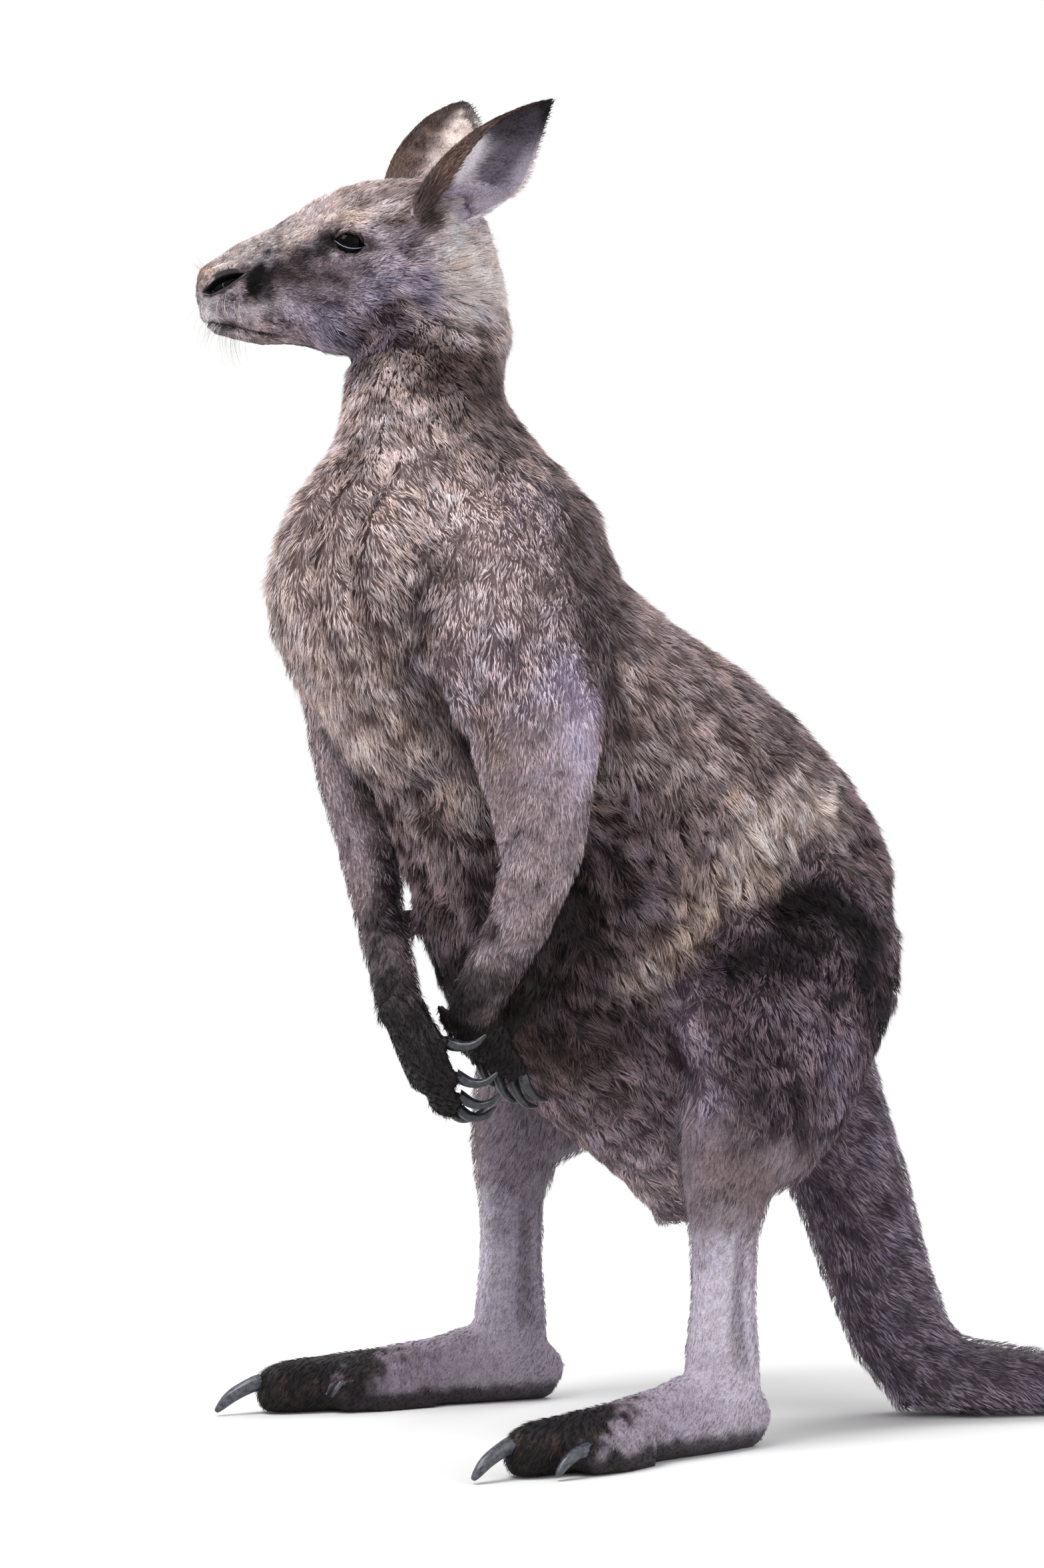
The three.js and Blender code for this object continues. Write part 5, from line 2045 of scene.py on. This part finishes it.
@dataclass
class Whiskers:
    """Fine stiff hairs: on the muzzle, the chin and the brow, and the lashes of the upper lids."""

    head: HeadFrame
    skin: Skin
    radius: float = 0.16  # of a whisker at its root, mm
    lash_radius: float = 0.13  # of a lash at its root, mm

    def root(self, hand: int, s: float, q: float) -> tuple[np.ndarray, np.ndarray]:
        """Finds the skin's point nearest to a place on one side of the head.

        Args:
            hand: 1 for the left side, -1 for the right.
            s: along the head, mm.
            q: up, mm.

        Returns:
            The point and its normal.
        """
        x, along, up = self.head.read(self.skin.surface.points)
        away = (along - s) ** 2 + (up - q) ** 2 + np.where(x * hand > 0, 0, 1e6)
        away += np.where(self.skin.normals @ self.head.x * hand > -0.2, 0, 1e6)
        at = int(np.argmin(away))
        return self.skin.surface.points[at], self.skin.normals[at]

    def arc(self, start: np.ndarray, way: np.ndarray, sag: np.ndarray, length: float) -> np.ndarray:
        """Draws a hair's midline: straight out along way, bent by sag as the square of the distance."""
        t = np.linspace(0, 1, 9)[:, None]
        return start + (way * t + sag * t * t) * length * MM

    def build(self, finish: "Hair", lash: "Hair") -> None:
        """Makes the whiskers and the lashes.

        Args:
            finish: the whiskers' material.
            lash: the lashes' material.
        """
        draw = np.random.default_rng(SEED + 5)
        head, hairs, lashes = self.head, [], []
        tufts = [
            (18, (246, 30), (9, 7), (20, 42), 0.5),  # upper lip
            (12, (254, 10), (5, 5), (14, 26), 0.9),  # lower lip
            (8, (258, 74), (5, 4), (8, 16), 0.8),  # nose
            (14, (238, -8), (9, 4), (14, 30), 0.3),  # chin
            (4, (92, 82), (4, 2), (24, 38), 0.2),  # brow
        ]
        for hand in (1, -1):
            for count, (s, q), (ds, dq), (short, long), forward in tufts:
                for _ in range(count):
                    start, normal = self.root(hand, s + draw.normal() * ds, q + draw.normal() * dq)
                    down = -0.45 if q < 40 else 0.3
                    fall = head.q * down * draw.uniform(0.3, 1.2)
                    way = unit(normal * 0.9 + head.s * (forward - 0.3) + fall)
                    sag = -head.s * 0.25 + head.q * down * 0.5
                    path = self.arc(start, way, sag, draw.uniform(short, long))
                    hairs.append(hair(path, self.radius * MM))
            for part in np.linspace(-0.85, 0.75, 26):
                s, q = FACE.on_opening(part * FACE.half_long, FACE.upper * (1 - part**2) + 0.8)
                start, _ = self.root(hand, s, q)
                fan = 0.25 * part + 0.12 * draw.normal()
                way = unit(head.x * hand * 0.9 - head.q * 0.15 + head.s * fan)
                path = self.arc(start, way, head.q * 0.25, draw.uniform(5, 8))
                lashes.append(hair(path, self.lash_radius * MM))
        fit(blender_mesh("whiskers", together(hairs), finish.material()), "face_coat")
        fit(blender_mesh("lashes", together(lashes), lash.material()), "face_coat")


# ---- materials ----
def add_node(
    tree: bpy.types.NodeTree, kind: str, inputs: dict | None = None, **settings: object
) -> bpy.types.Node:
    """Adds a shader node.

    Args:
        tree: the material's nodes.
        kind: the node's type, without the words it starts with.
        inputs: for each input, a value or the output socket to link.
        settings: the node's own properties.

    Returns:
        The node.
    """
    node = tree.nodes.new("ShaderNode" + kind)
    for name, value in settings.items():
        setattr(node, name, value)
    for name, value in (inputs or {}).items():
        if isinstance(value, bpy.types.NodeSocket):
            tree.links.new(value, node.inputs[name])
        else:
            node.inputs[name].default_value = value
    return node


def fresh(name: str) -> bpy.types.NodeTree:
    """Starts a material and gives its empty node tree.

    Args:
        name: the material's.

    Returns:
        The tree.
    """
    made = bpy.data.materials.new(name)
    made.use_nodes = True
    made.node_tree.nodes.clear()
    return made.node_tree


def finished(tree: bpy.types.NodeTree, shader: bpy.types.Node) -> bpy.types.Material:
    """Links a shader to its material's output and gives the material."""
    add_node(tree, "OutputMaterial", {"Surface": shader.outputs["BSDF"]})
    return next(m for m in bpy.data.materials if m.node_tree == tree)


def speckled(
    tree: bpy.types.NodeTree, size: float, detail: float, spread: float
) -> tuple[bpy.types.Node, bpy.types.Node]:
    """Varies the marking's colour from speck to speck by noise on Object coordinates.

    Args:
        tree: the material's nodes.
        size: of a speck, in millimetres; a wave of the noise is four specks long.
        detail: how many finer waves the noise has.
        spread: how far the colour rises and falls, as a share of it.

    Returns:
        The noise, and the node whose Vector output is the varied colour.
    """
    marking = add_node(tree, "VertexColor", layer_name="marking")
    place = add_node(tree, "TexCoord").outputs["Object"]
    specks = add_node(tree, "TexNoise", {"Vector": place, "Scale": 1 / (size * MM) / 4, "Detail": detail})
    ends = {"From Min": 0.3, "From Max": 0.7, "To Min": 1 - spread, "To Max": 1 + spread}
    vary = add_node(tree, "MapRange", {"Value": specks.outputs["Fac"], **ends}).outputs["Result"]
    return specks, add_node(
        tree, "VectorMath", {0: marking.outputs["Color"], "Scale": vary}, operation="SCALE"
    )


def rgba(code: str) -> tuple[float, float, float, float]:
    """Gives a colour as a shader socket wants it."""
    return (*linear(code), 1.0)


@dataclass(frozen=True)
class Fur:
    """Keratin hair: dry and matt, so it scatters light softly and only glints along its length."""

    roughness: float = 0.62
    specular: float = 0.14
    grain: float = 0.6  # mm, the size of the specks where single hairs differ

    def material(self) -> bpy.types.Material:
        """Makes the coat's material: the marking, varied a little from hair to hair.

        Returns:
            The material.
        """
        tree = fresh("hair_keratin")
        _, tint = speckled(tree, self.grain, 2.0, 0.18)
        gloss = {"Roughness": self.roughness, "Specular IOR Level": self.specular}
        shader = add_node(tree, "BsdfPrincipled", {"Base Color": tint.outputs["Vector"], **gloss})
        return finished(tree, shader)


@dataclass(frozen=True)
class Hide:
    """The skin under the coat: leathery, finely wrinkled and matt, so it scatters light softly."""

    wrinkle: float = 1.6  # mm between wrinkles
    nap: float = 0.5  # mm, the size of the short hairs' specks
    roughness: float = 0.55
    specular: float = 0.22

    def material(self) -> bpy.types.Material:
        """Makes the skin's material, with the coat's marking and a bump of wrinkles and short hairs.

        Returns:
            The material.
        """
        tree = fresh("hide_leather")
        nap, tint = speckled(tree, self.nap, 3.0, 0.25)
        place = add_node(tree, "TexCoord").outputs["Object"]
        folds = add_node(tree, "TexVoronoi", {"Vector": place, "Scale": 1 / (self.wrinkle * MM)})
        rise = {0: folds.outputs["Distance"], 1: nap.outputs["Fac"]}
        height = add_node(tree, "Math", rise, operation="ADD").outputs["Value"]
        bump = add_node(tree, "Bump", {"Height": height, "Strength": 0.5, "Distance": 0.0004})
        gloss = {"Roughness": self.roughness, "Specular IOR Level": self.specular}
        look = {"Base Color": tint.outputs["Vector"], "Normal": bump.outputs["Normal"], **gloss}
        shader = add_node(tree, "BsdfPrincipled", look)
        return finished(tree, shader)


@dataclass(frozen=True)
class EyeGloss:
    """A living eye: wet, so a clear coat mirrors the lights over a dark iris."""

    def material(self) -> bpy.types.Material:
        """Makes the eye's material.

        Returns:
            The material.
        """
        tree = fresh("eye_wet")
        marking = add_node(tree, "VertexColor", layer_name="marking")
        wet = {"Coat Weight": 0.18, "Coat Roughness": 0.02, "Coat IOR": 1.38}
        dull = {"Roughness": 0.5, "Specular IOR Level": 0.0}
        shader = add_node(tree, "BsdfPrincipled", {"Base Color": marking.outputs["Color"], **dull, **wet})
        return finished(tree, shader)


@dataclass(frozen=True)
class Horn:
    """Claw keratin: grown in thin layers, so it is satin, with fine lines and worn, paler patches."""

    name: str
    dark: str
    pale: str
    streak: float = 0.9  # mm between growth lines
    roughness: float = 0.32

    def material(self) -> bpy.types.Material:
        """Makes the claw's material.

        Returns:
            The material.
        """
        tree = fresh(self.name)
        place = add_node(tree, "TexCoord").outputs["Object"]
        grain = {"Scale": 1 / (self.streak * MM) / 5, "Detail": 5.0, "Roughness": 0.7}
        lines = add_node(tree, "TexNoise", {"Vector": place, **grain})
        ramp = add_node(tree, "ValToRGB", {"Fac": lines.outputs["Fac"]})
        ramp.color_ramp.elements[0].position, ramp.color_ramp.elements[0].color = 0.36, rgba(self.dark)
        ramp.color_ramp.elements[1].position, ramp.color_ramp.elements[1].color = 0.68, rgba(self.pale)
        bump = add_node(tree, "Bump", {"Height": lines.outputs["Fac"], "Strength": 0.25, "Distance": 0.0004})
        look = {"Base Color": ramp.outputs["Color"], "Normal": bump.outputs["Normal"]}
        shader = add_node(tree, "BsdfPrincipled", {**look, "Roughness": self.roughness, "IOR": 1.54})
        return finished(tree, shader)


@dataclass(frozen=True)
class Hair:
    """A single stiff hair, smooth and slightly glossy."""

    name: str
    colour: str
    roughness: float = 0.4

    def material(self) -> bpy.types.Material:
        """Makes the hair's material, a little mottled along its length.

        Returns:
            The material.
        """
        tree = fresh(self.name)
        place = add_node(tree, "TexCoord")
        noise = add_node(tree, "TexNoise", {"Vector": place.outputs["Object"], "Scale": 300.0})
        ramp = add_node(tree, "ValToRGB", {"Fac": noise.outputs["Fac"]})
        ramp.color_ramp.elements[0].color = (*linear(self.colour) * 0.7, 1)
        ramp.color_ramp.elements[1].color = rgba(self.colour)
        look = {"Base Color": ramp.outputs["Color"], "Roughness": self.roughness}
        shader = add_node(tree, "BsdfPrincipled", look)
        return finished(tree, shader)


# ---- studio ----
@dataclass(frozen=True)
class Lamp:
    """A soft rectangular light, placed by its bearing from the animal."""

    name: str
    azimuth: float  # degrees from -y towards +x
    height: float  # degrees above level
    distance: float  # m
    size: float  # m
    power: float  # W


@dataclass
class Studio:
    """The floor, the lights and the camera."""

    azimuth: float = 60.0  # of the camera, from -y towards +x
    distance: float = 6.110  # m, from the frame's upright axis
    aside: float = -0.278  # m, to the camera's right
    height: float = 0.95
    pitch: float = 2.78  # degrees down
    lens: float = 135.0  # mm, on a sensor 36 mm wide
    sky: float = 0.62  # the strength of the daylight from all around
    aim: float = 0.75  # m, the height that the lamps point at
    lamps: tuple[Lamp, ...] = (
        Lamp("key", 8.0, 55.0, 4.2, 2.2, 150.0),
        Lamp("fill", 110.0, 25.0, 4.6, 3.0, 38.0),
        Lamp("rim", 205.0, 42.0, 4.4, 2.4, 95.0),
    )
    clear: tuple[float, float] = (1.3, 2.6)  # metres from the animal over which the floor turns plain white

    def build(self) -> None:
        """Makes the floor, the world, the lamps and the camera."""
        self.floor()
        world = bpy.data.worlds.new("soft_daylight")
        world.use_nodes = True
        back = world.node_tree.nodes["Background"]
        back.inputs["Color"].default_value = rgba("f4f4f6")
        back.inputs["Strength"].default_value = self.sky
        bpy.context.scene.world = world
        tree = world.node_tree
        white = add_node(tree, "Background", {"Color": rgba("ffffff"), "Strength": 1.0})
        choice = {0: self.seen(tree), 1: back.outputs["Background"], 2: white.outputs["Background"]}
        pick = add_node(tree, "MixShader", choice)
        tree.links.new(pick.outputs["Shader"], tree.nodes["World Output"].inputs["Surface"])
        for lamp in self.lamps:
            self.light(lamp)
        self.camera()
        scene = bpy.context.scene
        scene.view_settings.view_transform = "Standard"

    @staticmethod
    def seen(tree: bpy.types.NodeTree) -> bpy.types.NodeSocket:
        """Tells looking from lighting.

        Args:
            tree: the nodes to add to.

        Returns:
            A socket that is 1 where something is looked at, mirrored or seen through, and 0 where it lights.
        """
        path = add_node(tree, "LightPath").outputs
        either = {0: path["Is Camera Ray"], 1: path["Is Glossy Ray"]}
        either = {0: add_node(tree, "Math", either, operation="MAXIMUM").outputs["Value"]}
        either[1] = path["Is Transmission Ray"]
        return add_node(tree, "Math", either, operation="MAXIMUM").outputs["Value"]

    def floor(self) -> None:
        """Lays the plain pale floor, which keeps the shadow and turns plain white away from the animal."""
        half, cells = 14.0, 8
        side = np.linspace(-half, half, cells + 1)
        gx, gy = np.meshgrid(side, side, indexing="ij")
        points = np.stack([gx, gy, np.zeros_like(gx)], axis=-1).reshape(-1, 3)
        row, column = np.meshgrid(np.arange(cells), np.arange(cells), indexing="ij")
        a = (row * (cells + 1) + column).ravel()
        b, c, d = a + cells + 1, a + cells + 2, a + 1
        triangles = np.concatenate([np.stack([a, b, c], 1), np.stack([a, c, d], 1)])
        tree = fresh("floor_paper")
        place = add_node(tree, "TexCoord").outputs["Object"]
        noise = add_node(tree, "TexNoise", {"Vector": place, "Scale": 3.0})
        ramp = add_node(tree, "ValToRGB", {"Fac": noise.outputs["Fac"]})
        ramp.color_ramp.elements[0].color = rgba("f3f3f2")
        ramp.color_ramp.elements[1].color = rgba("f7f7f6")
        matt = {"Roughness": 0.9, "Specular IOR Level": 0.1}
        shader = add_node(tree, "BsdfPrincipled", {"Base Color": ramp.outputs["Color"], **matt})
        away = add_node(tree, "VectorMath", {0: place}, operation="LENGTH").outputs["Value"]
        reach = {"Value": away, "From Min": self.clear[0], "From Max": self.clear[1]}
        fade = add_node(tree, "MapRange", reach, interpolation_type="SMOOTHSTEP").outputs["Result"]
        share = add_node(tree, "Math", {0: fade, 1: self.seen(tree)}, operation="MULTIPLY").outputs["Value"]
        white = add_node(tree, "Emission", {"Color": rgba("ffffff"), "Strength": 1.0})
        layers = {0: share, 1: shader.outputs["BSDF"], 2: white.outputs["Emission"]}
        paper = add_node(tree, "MixShader", layers)
        add_node(tree, "OutputMaterial", {"Surface": paper.outputs["Shader"]})
        piece = blender_mesh("floor", Surface(points, triangles), bpy.data.materials["floor_paper"])

    def light(self, lamp: Lamp) -> None:
        """Hangs one lamp, turned to the animal's middle.

        Args:
            lamp: where it hangs and how strong it is.
        """
        data = bpy.data.lights.new(lamp.name, "AREA")
        data.shape, data.size, data.energy = "SQUARE", lamp.size, lamp.power
        made = bpy.data.objects.new(lamp.name, data)
        turn, up = math.radians(lamp.azimuth), math.radians(lamp.height)
        aim = np.array([0, 0, self.aim])
        way = np.array([math.sin(turn) * math.cos(up), -math.cos(turn) * math.cos(up), math.sin(up)])
        made.location = aim + way * lamp.distance
        made.rotation_euler = (math.pi / 2 - up, 0, turn)
        bpy.context.scene.collection.objects.link(made)

    def camera(self) -> None:
        """Sets the camera level with the animal's chest, a little above it."""
        turn = math.radians(self.azimuth)
        back = np.array([math.sin(turn), -math.cos(turn), 0])
        right = np.array([math.cos(turn), math.sin(turn), 0])
        data = bpy.data.cameras.new("camera")
        data.lens, data.sensor_width = self.lens, 36.0
        made = bpy.data.objects.new("camera", data)
        made.location = back * self.distance + right * self.aside + [0, 0, self.height]
        made.rotation_euler = (math.pi / 2 - math.radians(self.pitch), 0, turn)
        bpy.context.scene.collection.objects.link(made)
        bpy.context.scene.camera = made


def main() -> None:
    """Builds the kangaroo and its studio in order."""
    logging.basicConfig(level=logging.INFO, format="%(message)s", stream=sys.stdout)
    head = HeadFrame()
    body = BodyMap()
    markings = Markings(body, head)
    skin = Skin(body, head)
    skin.build(markings, Hide())
    Coat(skin, markings, Fur()).build()
    eyes = Eyes(head)
    eyes.build(EyeGloss())
    # the lower lids' wet line, pale blue-grey as a painted highlight
    eyes.rims(Hair("lid_wet", "8f8aa6", 0.25))
    Claws().build(Horn("claw_black", "101115", "3b3c45"), Horn("claw_slate", "202228", "5c606b"))
    Whiskers(head, skin).build(Hair("whisker_pale", "e9e4dc"), Hair("lash_dark", "1a1416"))
    Studio().build()


if __name__ == "__main__":
    main()
